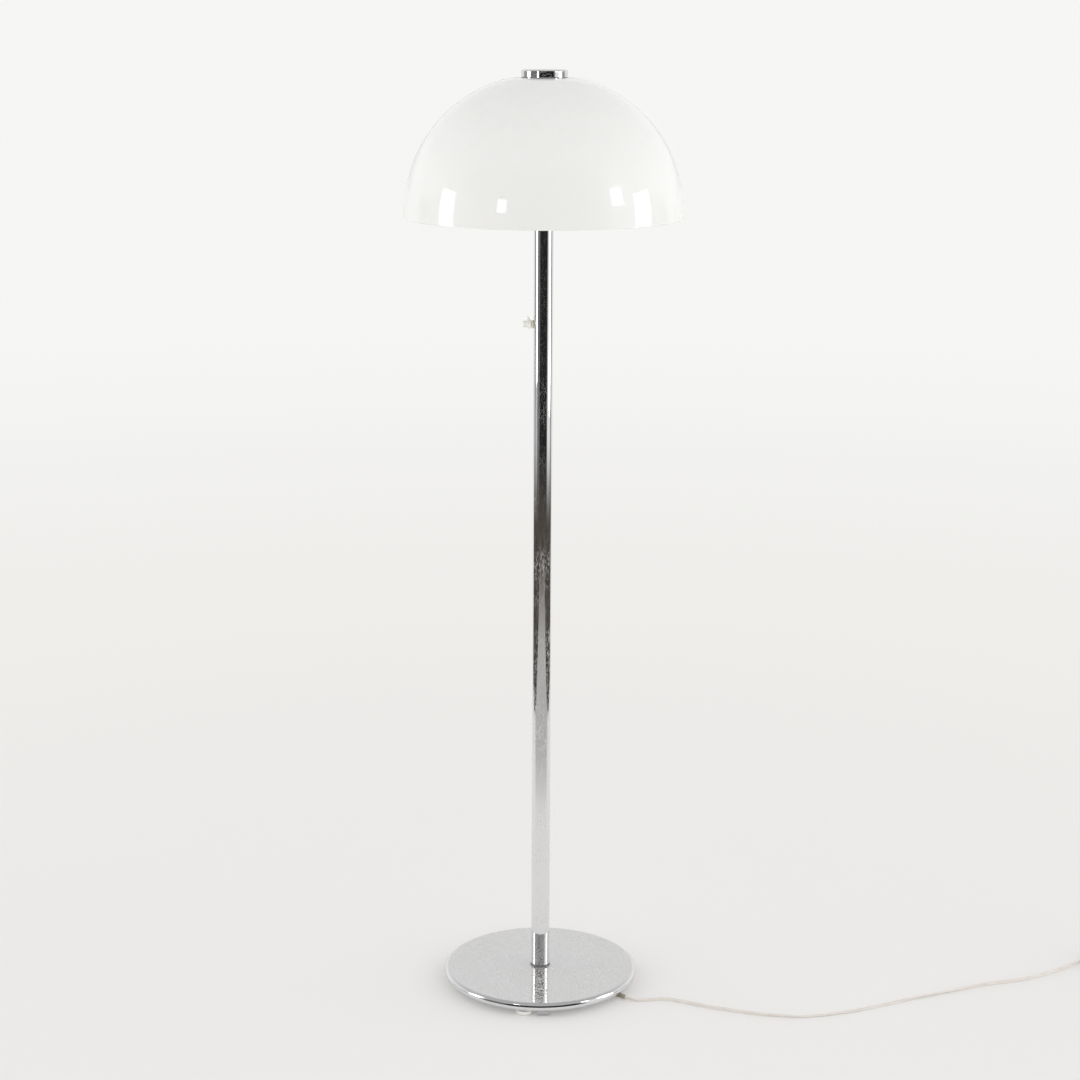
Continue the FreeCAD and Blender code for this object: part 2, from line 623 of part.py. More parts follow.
def shade_hardware():
    node(cylinder("centre_rod", "thread_radius", "rod_top - rod_start", "rod_start"),
         "centre_rod")
    lower = hex_nut("rod_nut_lower", CUP_TOP + " - nut_height")
    upper = hex_nut("rod_nut_upper", CUP_TOP + " + cup_wall")
    node(together("rod_nuts", [lower, upper]), "rod_nuts")
    crown = "shade_rim + %s" % CROWN_UP
    under = crown + " - shade_wall"
    node(ring("seat_pad", "pad_radius", "thread_radius", "pad_wall", under + " - pad_wall"),
         "seat_pad")
    node(ring("shade_seat", "seat_radius", "thread_radius", "seat_wall",
              under + " - pad_wall - seat_wall"), "shade_seat")
    node(hex_nut("seat_nut", under + " - pad_wall - seat_wall - nut_height"), "seat_nut")
    node(ring("cap_washer", "washer_radius", "shade_hole", "washer_wall", crown), "cap_washer")

    bore = "thread_radius + running_gap"
    cap = turned("cap", [
        (bore, "0"), ("cap_boss", "0"), ("cap_boss", "cap_height - cap_wall"),
        ("cap_radius - cap_wall", "cap_height - cap_wall"), ("cap_radius - cap_wall", "0"),
        ("cap_radius", "0"), ("cap_radius", "cap_height - cap_edge"),
        ("cap_radius - cap_edge", "cap_height", "cap_edge", 1), ("0", "cap_height"),
        ("0", "cap_thread"), (bore, "cap_thread")])
    node(place(cap, crown + " + washer_wall"), "cap")


# ---------------------------------------------------------------- cables and mains lead

def heading(angle, slope=0.0):
    return Vector(polar(math.cos(slope), angle, math.sin(slope)))


def rounded_route(points, radius=None, share=0.45):
    """Straight runs joined by tangent arcs, with the radii of the arcs.

    Each arc takes its share of the shorter run beside it, or has the radius given.
    """
    edges, radii = [], []
    last = points[0]
    for before, corner, after in zip(points, points[1:], points[2:]):
        arriving, leaving = corner - before, after - corner
        half_turn = arriving.getAngle(leaving) / 2
        reach = share * min(arriving.Length, leaving.Length)
        if radius:
            reach = min(reach, radius * math.tan(half_turn))
        bend = reach / math.tan(half_turn)
        arriving.normalize()
        leaving.normalize()
        start, end = corner - arriving * reach, corner + leaving * reach
        inward = (leaving - arriving).normalize()
        middle = corner + inward * (bend / math.cos(half_turn) - bend)
        edges.append(Part.LineSegment(last, start).toShape())
        edges.append(Part.Arc(start, middle, end).toShape())
        radii.append(bend)
        last = end
    edges.append(Part.LineSegment(last, points[-1]).toShape())
    return edges, radii


def tube(name, edges):
    """A round tube along tangent edges; its volume is compared with section times length."""
    wire = Part.Wire(edges)
    first = edges[0]
    start = first.valueAt(first.FirstParameter)
    direction = first.tangentAt(first.FirstParameter)
    radius = size("cord_radius")
    circle = Part.Wire([Part.Circle(start, direction, radius).toShape()])
    shape = wire.makePipeShell([circle], True, False)
    expected = math.pi * radius ** 2 * wire.Length
    print("%s: length %.1f mm, volume %.4f of section times length"
          % (name, wire.Length, shape.Volume / expected))
    return solid(name, shape)


def mouth(back=0.0):
    """A point on the strain relief's axis, so far back from its mouth."""
    spot = CORD_MOUTH - heading(CORD_HEADING) * back
    return Vector(spot.x, spot.y, size("cord_exit_height"))


def cables():
    """The lead inside the lamp: under the base, up the stem, past the switch."""
    middle = Vector(0, 0, size("cord_exit_height"))
    corner = mouth(CABLE_CORNER_BACK)
    switch_bottom = Vector(0, 0, size("switch_height - switch_length / 2"))
    near = middle + (corner - middle).normalize() * 2 * size("cable_bend")
    flat, _ = rounded_route([mouth(), corner, near], radius=size("cable_sweep"))
    upward, _ = rounded_route([near, middle, switch_bottom], radius=size("cable_bend"))
    tube("feed_cable", flat + upward)
    switch_top = Vector(0, 0, size("switch_height + switch_length / 2"))
    top = Vector(0, 0, size("nipple_top"))
    tube("lamp_cable", [Part.LineSegment(switch_top, top).toShape()])


def at_clamp(items, height):
    """Puts two items where the saddle's screws stand, one each side of the lead."""
    for item, side in zip(items, (-1, 1)):
        across = heading(CORD_HEADING + 90) * side * size("clamp_screw_place")
        spot = mouth(size("clamp_back")) + across
        item.Placement = Placement(Vector(spot.x, spot.y, 0), Rotation())
        bind(item, Placement__Base__z=height)
    return items


def clamp_drills(name, start, height):
    pair = [cylinder("%s_%d" % (name, number), SCREW_HOLE, height) for number in (1, 2)]
    return at_clamp(pair, start)


def strain_relief():
    """A tapered sleeve on the lead, held by a saddle under the base."""
    bush = turned("cord_bush", [
        ("cord_radius", "0"), ("bush_tail_radius", "0"), ("bush_tail_radius", "bush_tail"),
        ("bush_body_radius", "bush_tail + bush_step"),
        ("bush_body_radius", "bush_tail + bush_collar"),
        ("bush_mouth_radius", "bush_length"), ("cord_radius", "bush_length")])
    outward = Rotation(Vector(0, 0, 1), heading(CORD_HEADING))
    bush.Placement = Placement(mouth(size("bush_length")), outward)
    node(bush, "cord_bush")

    saddle = new_body("clamp_saddle")
    inner, outer = "bush_tail_radius", "bush_tail_radius + clamp_wall"
    top = "%s - cord_exit_height" % WEIGHT_BOTTOM
    under = top + " - clamp_wall"
    strap = outline(saddle, [
        ("-clamp_half_width", top), ("-clamp_half_width", under), ("-(%s)" % outer, under),
        ("-(%s)" % outer, "0"), ("0", "-(%s)" % outer, outer, 1), (outer, "0", outer, 1),
        (outer, under), ("clamp_half_width", under), ("clamp_half_width", top), (inner, top),
        (inner, "0"), ("0", "-bush_tail_radius", inner, -1), ("-bush_tail_radius", "0", inner, -1),
        ("-bush_tail_radius", top)], "YZ_Plane")
    pad(saddle, strap, "clamp_length")
    saddle.Placement = Placement(mouth(size("clamp_back")), Rotation(Vector(0, 0, 1), CORD_HEADING))
    holes = clamp_drills("clamp_drill", "base_gap - drill_play", "2 * drill_spare")
    node(cut("cord_clamp", saddle, holes), "cord_clamp")
    members = [screw("clamp_screw_%d" % number, "clamp_screw", "clamp_screw_scale")
               for number in (1, 2)]
    at_clamp(members, "%s - clamp_wall" % WEIGHT_BOTTOM)
    node(together("clamp_screws", members), "clamp_screws")


def coil_frame(across, height, ahead=0.0):
    """A point of the coil: across its middle line, up, and ahead along the lead's heading."""
    right = heading(COIL_HEADING - 90)
    centre = COIL_START + right * size("coil_outer")
    spot = centre - right * across + heading(COIL_HEADING) * ahead
    return Vector(spot.x, spot.y, height)


def coil_stations():
    """Where the turns cross the coil's middle line: (across, height), one each half turn.

    Layers spiral in and out in turn. The half turn that joins two layers climbs, and where
    it is the outermost it swells clear of the turns above and below.
    """
    outer, inner, floor = size("coil_outer"), size("coil_inner"), size("cord_radius")
    layers = int(size("coil_layers"))
    stations = []
    for layer in range(layers):
        inward = layer % 2 == 0
        joined = layer > 0 if inward else layer < layers - 1
        wide = outer + size("coil_swell") * joined
        height = floor + layer * size("coil_lift")
        for across in (wide, -outer, inner) if inward else (-inner, outer, -wide):
            stations.append((across, height))
    return stations


def coil():
    """One unbroken tube wound in half turns, straight at both ends for one diameter."""
    stations = coil_stations()
    points = [coil_frame(*station) for station in stations]
    straight = 2 * size("cord_radius")
    edges = [Part.LineSegment(coil_frame(*stations[0], -straight), points[0]).toShape()]
    for number, (start, end) in enumerate(zip(points, points[1:])):
        ahead = 1 if number % 2 == 0 else -1
        radius = (end - start).Length / 2
        middle = (start + end) * 0.5 + heading(COIL_HEADING) * radius * ahead
        edges.append(Part.Arc(start, middle, end).toShape())
    finish = coil_frame(*stations[-1], -straight)
    edges.append(Part.LineSegment(points[-1], finish).toShape())
    print("cord_coil: least gap between its turns %.2f mm" % least_gap(edges))
    tube("cord_coil", edges)
    return finish


def least_gap(edges, step=1.5):
    """The least free space between stretches of the tube over a quarter turn apart."""
    samples, travelled = [], 0.0
    for edge in edges:
        count = max(2, int(edge.Length / step))
        for point in edge.discretize(Number=count + 1)[:-1]:
            samples.append((travelled, point))
            travelled += edge.Length / count
    apart = math.pi * size("coil_inner")
    nearest = min((first[1] - second[1]).Length
                  for index, first in enumerate(samples) for second in samples[index:]
                  if second[0] - first[0] > apart)
    return nearest - 2 * size("cord_radius")


def mains_lead():
    start = coil_frame(*coil_stations()[0], -2 * size("cord_radius"))
    route = [mouth()] + [Vector(*point) for point in LEAD_ROUTE] + [start]
    edges, radii = rounded_route(route)
    print("cord_lead: radii " + " ".join("%.0f" % radius for radius in radii))
    tube("cord_lead", edges)
    spot = coil()
    tail = [spot]
    for length, angle, height in TAIL_STEPS:
        spot = spot + polar(length, angle)
        spot.z = height
        tail.append(Vector(spot))
    edges, radii = rounded_route(tail)
    print("cord_tail: radii " + " ".join("%.0f" % radius for radius in radii))
    tube("cord_tail", edges)
    return tail[-1], tail[-1] - tail[-2]


def mains_plug(entry, direction):
    """A flat two-pin plug on its side: its own +X runs from the lead to the pins."""
    angle = math.degrees(math.atan2(direction.y, direction.x))
    forward = Placement(Vector(entry.x, entry.y, 0), Rotation(Vector(0, 0, 1), angle))
    middle = "mains_plug_thickness / 2"
    half = "mains_plug_width / 2"
    side = [("0", "plug_waist"), ("plug_flare", "plug_shoulder"), ("plug_wide_start", half),
            ("plug_wide_end", half), ("mains_plug_length", half + " - plug_corner")]
    steps = [("mains_plug_neck + " + along, "-(%s)" % across) for along, across in side]
    steps += [("mains_plug_neck + " + along, across) for along, across in reversed(side)]
    block = new_body("plug_block")
    thick = pad(block, outline(block, steps, "XY_Plane"), "mains_plug_thickness")
    doc.recompute()
    rounding = block.newObject("PartDesign::Fillet", "plug_rounding")
    flat_edges = ["Edge%d" % number for number, edge in enumerate(thick.Shape.Edges, start=1)
                  if abs(edge.tangentAt(edge.FirstParameter).z) < 0.5]
    rounding.Base = (thick, flat_edges)
    bind(rounding, Radius="plug_round")
    bind(block, Placement__Base__z=middle)
    neck = doc.addObject("Part::Cone", "plug_neck")
    bind(neck, Radius1="cord_radius + neck_wall", Radius2="neck_radius",
         Height="mains_plug_neck + neck_overlap", Placement__Base__z=middle)
    neck.Placement.Rotation = Rotation(Vector(0, 1, 0), 90)
    body = doc.addObject("Part::Fuse", "plug_body")
    body.Base, body.Tool = block, neck
    body.Placement = forward
    node(body, "plug_body")
    pins = []
    for side in (-1, 1):
        pin = turned("plug_pin_%s" % ("left" if side > 0 else "right"), [
            ("0", "0"), ("pin_radius", "0"), ("pin_radius", "pin_length - pin_round"),
            ("pin_radius - pin_round", "pin_length", "pin_round", 1), ("0", "pin_length")])
        offset = Vector(size("mains_plug_neck + mains_plug_length"),
                        side * size("pin_spacing") / 2, size(middle))
        pin.Placement = forward.multiply(Placement(offset, Rotation(Vector(0, 1, 0), 90)))
        pins.append(pin)
    node(together("plug_pins", pins), "plug_pins")


# ---------------------------------------------------------------- build, check, write

def build():
    fill_sheet()
    base_cover()
    base_weight()
    glides()
    edge_clips()
    stem()
    switch()
    cluster()
    for number, angle in enumerate(HOLDER_ANGLES, start=1):
        lampholder(number, angle)
        bulb(number, angle)
    shade()
    shade_hardware()
    cables()
    strain_relief()
    entry, direction = mains_lead()
    mains_plug(entry, direction)
    doc.recompute()


def check():
    failed = [item.Label for item in doc.Objects
              if "Invalid" in item.State or "Error" in item.State]
    broken = [item.Label for item in nodes if item.Shape.isNull() or not item.Shape.isValid()]
    if failed or broken:
        raise RuntimeError("failed: %s; not valid: %s" % (failed, broken))


def write():
    os.makedirs("parts", exist_ok=True)
    for item in nodes:
        item.Shape.exportStep(os.path.join("parts", item.Label + ".step"))
    print("%d pieces written" % len(nodes))


build()
check()
write()
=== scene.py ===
"""Mushroom floor lamp: the looks of its pieces, its studio and its camera.

Metres, in the lamp's own frame: +Z up, origin on the floor under the stem, front towards -Y.
"""
import json
import math

import bpy
from bpy.props import FloatProperty, FloatVectorProperty, IntProperty, PointerProperty
from mathutils import Matrix, Vector


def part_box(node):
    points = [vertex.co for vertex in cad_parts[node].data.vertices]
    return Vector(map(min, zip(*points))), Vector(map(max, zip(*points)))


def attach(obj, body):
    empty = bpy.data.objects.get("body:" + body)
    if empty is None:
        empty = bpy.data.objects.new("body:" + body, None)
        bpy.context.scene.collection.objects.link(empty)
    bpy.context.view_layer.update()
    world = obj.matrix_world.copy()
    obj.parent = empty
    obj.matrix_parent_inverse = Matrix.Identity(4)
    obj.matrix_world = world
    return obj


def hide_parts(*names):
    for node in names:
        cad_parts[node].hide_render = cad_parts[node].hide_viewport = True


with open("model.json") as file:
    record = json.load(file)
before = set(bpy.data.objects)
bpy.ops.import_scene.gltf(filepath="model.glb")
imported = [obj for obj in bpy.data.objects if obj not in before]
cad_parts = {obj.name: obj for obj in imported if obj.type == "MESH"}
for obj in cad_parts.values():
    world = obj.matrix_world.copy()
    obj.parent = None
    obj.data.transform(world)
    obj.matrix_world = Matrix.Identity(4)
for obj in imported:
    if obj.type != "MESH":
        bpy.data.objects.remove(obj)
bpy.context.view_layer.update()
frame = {"nodes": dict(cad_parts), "record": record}

bl_info = {
    "name": "Mushroom floor lamp",
    "version": (1, 0, 0),
    "blender": (4, 5, 0),
    "location": "View3D > Sidebar > Lamp",
    "description": "Models and finishes the pieces of a mushroom floor lamp on its frame",
    "category": "Add Mesh",
}

SLOT_COLOURS = {row["slot"]: row["base_color"][:3] for row in frame["record"]["materials"]}
NODE_SLOTS = {row["node"]: row["material_slot"] for row in frame["record"]["subparts"]}
MM = 0.001
RING_SIDES = 96          # sides of the stem, the knob and the flat rings
NUT_SIDES = 72           # of the switch's ring nut and the cluster's cup and lid
TURNED_SIDES = 32        # of the pins, screws and the lead's sleeves
CAP_SIDES = 128
BULB_SIDES = 64


def low(node, axis=2):
    """A node's lowest coordinate on an axis: 0 across, 1 back, 2 up."""
    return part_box(node)[0][axis]


def high(node, axis=2):
    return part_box(node)[1][axis]


def polar(radius, degrees, height=0.0):
    turn = math.radians(degrees)
    return Vector((radius * math.cos(turn), radius * math.sin(turn), height))


# ---------------------------------------------------------------- sizes and colours

def length(name, description, default):
    return FloatProperty(name=name, description=description, default=default, min=0.0,
                         unit="LENGTH")


def colour(name, default):
    """A colour, given by its own value or by the record's material slot."""
    return FloatVectorProperty(name=name, description="Colour of the " + name.lower(),
                               subtype="COLOR", size=3, min=0.0, max=1.0,
                               default=SLOT_COLOURS.get(default, default))


class LampSizes(bpy.types.PropertyGroup):
    """Sizes that a user would change, read from the frame where it shows them."""
    shade_radius: length("Shade radius", "Outer radius of the shade's rim", high("shade", 0))
    shade_wall: length("Shade wall", "Thickness of the acrylic", 3 * MM)
    shade_skirt: length("Shade skirt", "Upright edge under the dome", 5 * MM)
    dome_radius: length("Dome radius", "Radius of the dome's arc", 195 * MM)
    crown_flat: length("Crown flat", "Radius of the flat under the cap", 36 * MM)
    stem_radius: length("Stem radius", "Outer radius of the tube", high("stem_tube", 0))
    stem_wall: length("Stem wall", "Wall of the tube", 1.5 * MM)
    base_radius: length("Base radius", "Outer radius of the base", high("base_cover", 0))
    base_wall: length("Base wall", "Thickness of the pressed cover", 1.2 * MM)
    cap_radius: length("Cap radius", "Outer radius of the cap", high("cap", 0))
    bulb_radius: length("Bulb radius", "Radius of a bulb's round end", 30 * MM)
    bulb_neck: length("Bulb neck", "Radius of a bulb's neck", 13.5 * MM)
    lead_width: length("Lead width", "Width of the flat twin lead", 5.4 * MM)
    lead_core: length("Lead core", "Thickness of the lead, across one core", 2.9 * MM)
    sides: IntProperty(name="Sides", description="Sides of the large turned pieces",
                       default=160, min=24, max=256)
    small_sides: IntProperty(name="Small sides", description="Sides of the small turned pieces",
                             default=48, min=12, max=128)


class LampColours(bpy.types.PropertyGroup):
    """Colours of the finishes and the backdrop."""
    chrome: colour("Chrome", "chrome")
    opal: colour("Opal shade", "opal_shade")
    knob: colour("Switch knob", (0.92, 0.91, 0.86))
    ring: colour("Switch ring", (0.88, 0.84, 0.70))
    relief: colour("Strain relief", (0.42, 0.38, 0.30))
    lead: colour("Lead", "cord_plastic")
    plug: colour("Plug", "plug_plastic")
    pins: colour("Plug pins", "plug_brass")
    glide: colour("Glides", "glide_plastic")
    rubber: colour("Rubber", (0.16, 0.155, 0.15))
    bakelite: colour("Bakelite", "bakelite")
    enamel: colour("Enamel", "painted_cup")
    porcelain: colour("Porcelain", "porcelain")
    glass: colour("Bulb glass", "bulb_glass")
    bulb_cap: colour("Bulb caps", "bulb_cap")
    steel: colour("Steel", "bright_steel")
    iron: colour("Cast iron", "cast_iron")
    backdrop: colour("Backdrop", (0.85, 0.84, 0.82))


# ---------------------------------------------------------------- modelling words

def mode(word):
    bpy.ops.object.mode_set(mode=word)


def choose(*pieces):
    """Object mode with only these selected, the first one active."""
    active = bpy.context.view_layer.objects.active
    if active and active.mode != "OBJECT":
        mode("OBJECT")
    bpy.ops.object.select_all(action="DESELECT")
    for piece in pieces:
        piece.select_set(True)
    bpy.context.view_layer.objects.active = pieces[0] if pieces else None


def context_object(name):
    """The piece that was just added, named."""
    piece = bpy.context.object
    piece.name = piece.data.name = name
    return piece


def smoothed(piece, degrees=35):
    """Shades a piece smooth, but for edges sharper than an angle."""
    choose(piece)
    bpy.ops.object.shade_smooth_by_angle(angle=math.radians(degrees))
    return piece


def closed(piece, near=0.005 * MM, degrees=35):
    """In edit mode, merges points that meet and turns the faces outwards; then smooths."""
    bpy.ops.mesh.select_all(action="SELECT")
    bpy.ops.mesh.remove_doubles(threshold=near)
    bpy.ops.mesh.normals_make_consistent(inside=False)
    mode("OBJECT")
    return smoothed(piece, degrees)


def mm(*points):
    """Outline points given in millimetres."""
    return [(radius * MM, height * MM) for radius, height in points]


def arc(centre, radius, start, end, steps):
    """Outline points round an arc, from start to end, in degrees up from outwards."""
    turns = [math.radians(start + (end - start) * step / steps) for step in range(steps + 1)]
    return [(centre[0] + radius * math.cos(turn), centre[1] + radius * math.sin(turn))
            for turn in turns]


def ring_outline(bore, outer, floor, roof, across, up):
    """Outline of a flat ring whose outer corners are cut by so much across and up."""
    return [(bore, floor), (outer - across, floor), (outer, floor + up), (outer, roof - up),
            (outer - across, roof), (bore, roof), (bore, floor)]


def steps_to(start, end, count):
    """Outline points from start to end, in even steps, with the start left out."""
    return [(start[0] + (end[0] - start[0]) * step / count,
             start[1] + (end[1] - start[1]) * step / count) for step in range(1, count + 1)]


def turned(name, outline, sides, disc=False):
    """A turned piece about +Z: a ring drawn along an outline of (radius, height) points.

    It starts open, or closed by a flat disc. A point on the axis ends it in a pole, and an
    outline that comes back to its start closes on itself.
    """
    choose()
    radius, height = outline[0]
    bpy.ops.mesh.primitive_circle_add(vertices=sides, radius=radius, location=(0, 0, height),
                                      fill_type="TRIFAN" if disc else "NOTHING")
    piece = context_object(name)
    bpy.ops.object.transform_apply(location=True, rotation=False, scale=False)
    mode("EDIT")
    bpy.ops.mesh.select_mode(type="VERT")
    bpy.ops.mesh.select_all(action="DESELECT" if disc else "SELECT")
    if disc:
        bpy.ops.mesh.select_non_manifold()
    for next_radius, next_height in outline[1:]:
        bpy.ops.mesh.extrude_region_move(
            TRANSFORM_OT_translate={"value": (0, 0, next_height - height)})
        if next_radius == 0:
            bpy.ops.mesh.merge(type="CENTER")
            break
        factor = next_radius / radius
        bpy.ops.transform.resize(value=(factor, factor, 1),
                                 center_override=(0, 0, next_height))
        radius, height = next_radius, next_height
    return closed(piece)


def block(name, size, centre):
    """A box of a size about its centre, ready to be shaped."""
    choose()
    bpy.ops.mesh.primitive_cube_add(size=1, location=centre, scale=size)
    piece = context_object(name)
    bpy.ops.object.transform_apply()
    return piece


def modify(piece, kind, **settings):
    """Gives a piece a modifier and applies it."""
    modifier = piece.modifiers.new(kind.lower(), kind)
    for key, value in settings.items():
        setattr(modifier, key, value)
    choose(piece)
    bpy.ops.object.modifier_apply(modifier=modifier.name)


def soften(piece, width, segments, angle=30):
    """Rounds a piece's sharp edges."""
    modify(piece, "BEVEL", width=width, segments=segments, limit_method="ANGLE",
           angle_limit=math.radians(angle), harden_normals=False)
    smoothed(piece)


def walled(piece, thickness):
    """Gives a skin a wall, on the inside."""
    modify(piece, "SOLIDIFY", thickness=thickness, offset=-1, use_even_offset=True)
    smoothed(piece)


def combined(piece, operation, other):
    """Joins, cuts or crosses a piece with another one, which is used up."""
    modify(piece, "BOOLEAN", operation=operation, object=other, solver="EXACT")
    bpy.data.objects.remove(other)


def pick(piece, kind, test):
    """In edit mode, selects the vertices or edges whose middle passes a test."""
    choose(piece)
    spots = piece.data.vertices
    mode("EDIT")
    bpy.ops.mesh.select_mode(type=kind)
    bpy.ops.mesh.select_all(action="DESELECT")
    mode("OBJECT")
    if kind == "VERT":
        for item in spots:
            item.select = test(item.co)
    else:
        for item in piece.data.edges:
            first, second = item.vertices
            item.select = test((spots[first].co + spots[second].co) / 2)
    mode("EDIT")


def moved(piece, matrix):
    """Puts a piece in place and leaves the place in its mesh."""
    choose(piece)
    piece.matrix_world = matrix
    bpy.ops.object.transform_apply(location=True, rotation=True, scale=True)
    return piece


def repeated(piece, places):
    """Like pieces at several places, each with its own mesh, joined as one."""
    members = [piece]
    for _ in places[1:]:
        choose(piece)
        bpy.ops.object.duplicate(linked=False)
        members.append(bpy.context.object)
    for member, matrix in zip(members, places):
        moved(member, matrix)
    return joined(*members)


def joined(*pieces):
    choose(*pieces)
    bpy.ops.object.join()
    return pieces[0]


def painted(piece, look):
    piece.data.materials.clear()
    piece.data.materials.append(finish(look))


def dressed(piece, slot, *nodes, body="stand", look=None):
    """Gives a finished piece the finish of its slot or look, puts it under its body's empty, and
    hides the nodes that it stands for.
    """
    painted(piece, look or slot)
    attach(piece, body)
    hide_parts(*nodes)
    return piece


def upright(radius, degrees):
    """A place on a circle round the stem, turned with it."""
    turn = Matrix.Rotation(math.radians(degrees), 4, "Z")
    return Matrix.Translation(polar(radius, degrees)) @ turn


def facing(place, direction):
    """A place whose own +Z points along a direction."""
    turn = direction.to_track_quat("Z", "Y").to_matrix().to_4x4()
    return Matrix.Translation(place) @ turn


# ---------------------------------------------------------------- shader words

class Wiring:
    """Short words for the nodes of one shader tree."""

    def __init__(self, tree):
        self.tree = tree
        self.column = 0

    def add(self, kind, **settings):
        """Adds a node to the right of the last one."""
        node = self.tree.nodes.new("ShaderNode" + kind)
        self.column += 1
        node.location = (200 * self.column, 0)
        self.fill(node, **settings)
        return node

    def fill(self, node, **settings):
        """Sets a node's own values, which start in lower case, and its inputs by their names."""
        for key, value in settings.items():
            if key[0].islower():
                setattr(node, key, value)
            else:
                self.give(node.inputs[key.replace("_", " ")], value)

    def give(self, socket, value):
        if isinstance(value, bpy.types.NodeSocket):
            self.tree.links.new(value, socket)
        elif socket.type == "RGBA":
            socket.default_value = (*value[:3], 1.0)
        else:
            socket.default_value = value

    def step(self, kind, values, **settings):
        """Adds a node whose inputs take values in their order, and gives what comes out."""
        node = self.add(kind, **settings)
        for socket, value in zip(node.inputs, values):
            self.give(socket, value)
        return node.outputs[0]

    def sum(self, operation, *values, clamp=False):
        """One step of arithmetic."""
        return self.step("Math", values, operation=operation, use_clamp=clamp)

    def ramp(self, value, low, high, to_low=0.0, to_high=1.0):
        """A value's place between two limits, eased at both ends."""
        return self.step("MapRange", (value, low, high, to_low, to_high),
                         interpolation_type="SMOOTHSTEP")

    def mix(self, factor, first, second):
        node = self.add("Mix", data_type="RGBA")
        for index, value in ((0, factor), (6, first), (7, second)):
            self.give(node.inputs[index], value)
        return node.outputs[2]

    def parts(self, vector):
        """A vector's parts: across, back and up."""
        return self.add("SeparateXYZ", Vector=vector).outputs

    def noise(self, vector, scale, detail, distortion=0.0):
        return self.add("TexNoise", Vector=vector, Scale=scale, Detail=detail,
                        Distortion=distortion).outputs[0]

    def bump(self, height, distance, strength):
        return self.add("Bump", Height=height, Distance=distance, Strength=strength).outputs[0]

    def group(self, tree, **settings):
        return self.add("Group", node_tree=tree, **settings).outputs

    def drifted(self, coordinates, tone, scale, amount):
        """A colour with a slow change of tone over the piece."""
        return self.group(tone_drift(), Vector=coordinates, Color=tone, Scale=scale,
                          Amount=amount)[0]


SOCKETS = {float: "NodeSocketFloat", tuple: "NodeSocketColor", Vector: "NodeSocketVector"}


def shared_group(inputs, outputs):
    """Makes a node group of a function that wires it, when it is first asked for.

    The function takes the group's wiring and what it is given, and returns what comes out.
    """
    def named(build):
        def found():
            name = build.__name__
            if name in bpy.data.node_groups:
                return bpy.data.node_groups[name]
            tree = bpy.data.node_groups.new(name, "ShaderNodeTree")
            for side, sockets in (("INPUT", inputs), ("OUTPUT", outputs)):
                for key, default in sockets.items():
                    socket = tree.interface.new_socket(key, in_out=side,
                                                       socket_type=SOCKETS[type(default)])
                    if side == "INPUT" and type(default) is not Vector:
                        socket.default_value = ((*default, 1.0) if type(default) is tuple
                                                else default)
            wiring = Wiring(tree)
            made = build(wiring, tree.nodes.new("NodeGroupInput").outputs)
            wiring.fill(tree.nodes.new("NodeGroupOutput"), **made)
            return tree
        return found
    return named


@shared_group({"Vector": Vector(), "Scale": 400.0, "Coarse": 0.3}, {"Height": 0.0, "Gloss": 0.0})
def fine_grain(wiring, given):
    """A close moulded or cast grain: a height, and a value that breaks up the gloss."""
    close = wiring.noise(given["Vector"], given["Scale"], 4.0)
    slow = wiring.noise(given["Vector"], wiring.sum("MULTIPLY", given["Scale"], 0.12), 3.0)
    share = wiring.sum("MULTIPLY", slow, given["Coarse"])
    return {"Height": wiring.sum("ADD", close, share),
            "Gloss": wiring.sum("SUBTRACT", slow, 0.5)}


@shared_group({"Vector": Vector(), "Color": (0.8, 0.8, 0.8), "Scale": 20.0, "Amount": 0.1},
              {"Color": (0.8, 0.8, 0.8)})
def tone_drift(wiring, given):
    """A slow change of tone over a piece, lighter and darker than its colour."""
    centred = wiring.sum("SUBTRACT", wiring.noise(given["Vector"], given["Scale"], 5.0), 0.5)
    value = wiring.sum("MULTIPLY_ADD", centred, given["Amount"], 1.0)
    toned = wiring.add("HueSaturation", Color=given["Color"], Value=value)
    return {"Color": toned.outputs[0]}


@shared_group({"Vector": Vector(), "Pit Scale": 500.0, "Pit Size": 0.2, "Scratch Scale": 60.0,
               "Scratch Width": 0.01},
              {"Pits": 0.0, "Scratches": 0.0, "Height": 0.0})
def plating_wear(wiring, given):
    """Wear of chrome plate: pits as small dark dots, and fine scratches along its length."""
    cells = wiring.add("TexVoronoi", Vector=given["Vector"], Scale=given["Pit Scale"])
    draw = wiring.add("SeparateColor", Color=cells.outputs["Color"]).outputs[0]
    size = wiring.sum("MULTIPLY", draw, given["Pit Size"])
    pits = wiring.sum("LESS_THAN", cells.outputs["Distance"], size)
    lines = wiring.noise(given["Vector"], given["Scratch Scale"], 2.0, 0.4)
    off_line = wiring.sum("ABSOLUTE", wiring.sum("SUBTRACT", lines, 0.5))
    scratches = wiring.sum("LESS_THAN", off_line, given["Scratch Width"])
    depth = wiring.sum("ADD", pits, wiring.sum("MULTIPLY", scratches, 0.4))
    return {"Pits": pits, "Scratches": scratches, "Height": wiring.sum("SUBTRACT", 1.0, depth)}


@shared_group({"Vector": Vector(), "Scale": 40.0, "Amount": 0.3}, {"Mask": 0.0})
def settled_dust(wiring, given):
    """Dust that lies on what faces up, in patches."""
    facing_up = wiring.ramp(facing_upwards(wiring), 0.2, 0.9)
    patchy = wiring.ramp(wiring.noise(given["Vector"], given["Scale"], 6.0), 0.35, 0.75)
    lying = wiring.sum("MULTIPLY", facing_up, patchy)
    return {"Mask": wiring.sum("MULTIPLY", lying, given["Amount"])}


def facing_upwards(wiring):
    """How far a surface faces up: 1 where it lies level."""
    return wiring.parts(wiring.add("NewGeometry").outputs["Normal"])[2]


# ---------------------------------------------------------------- finishes

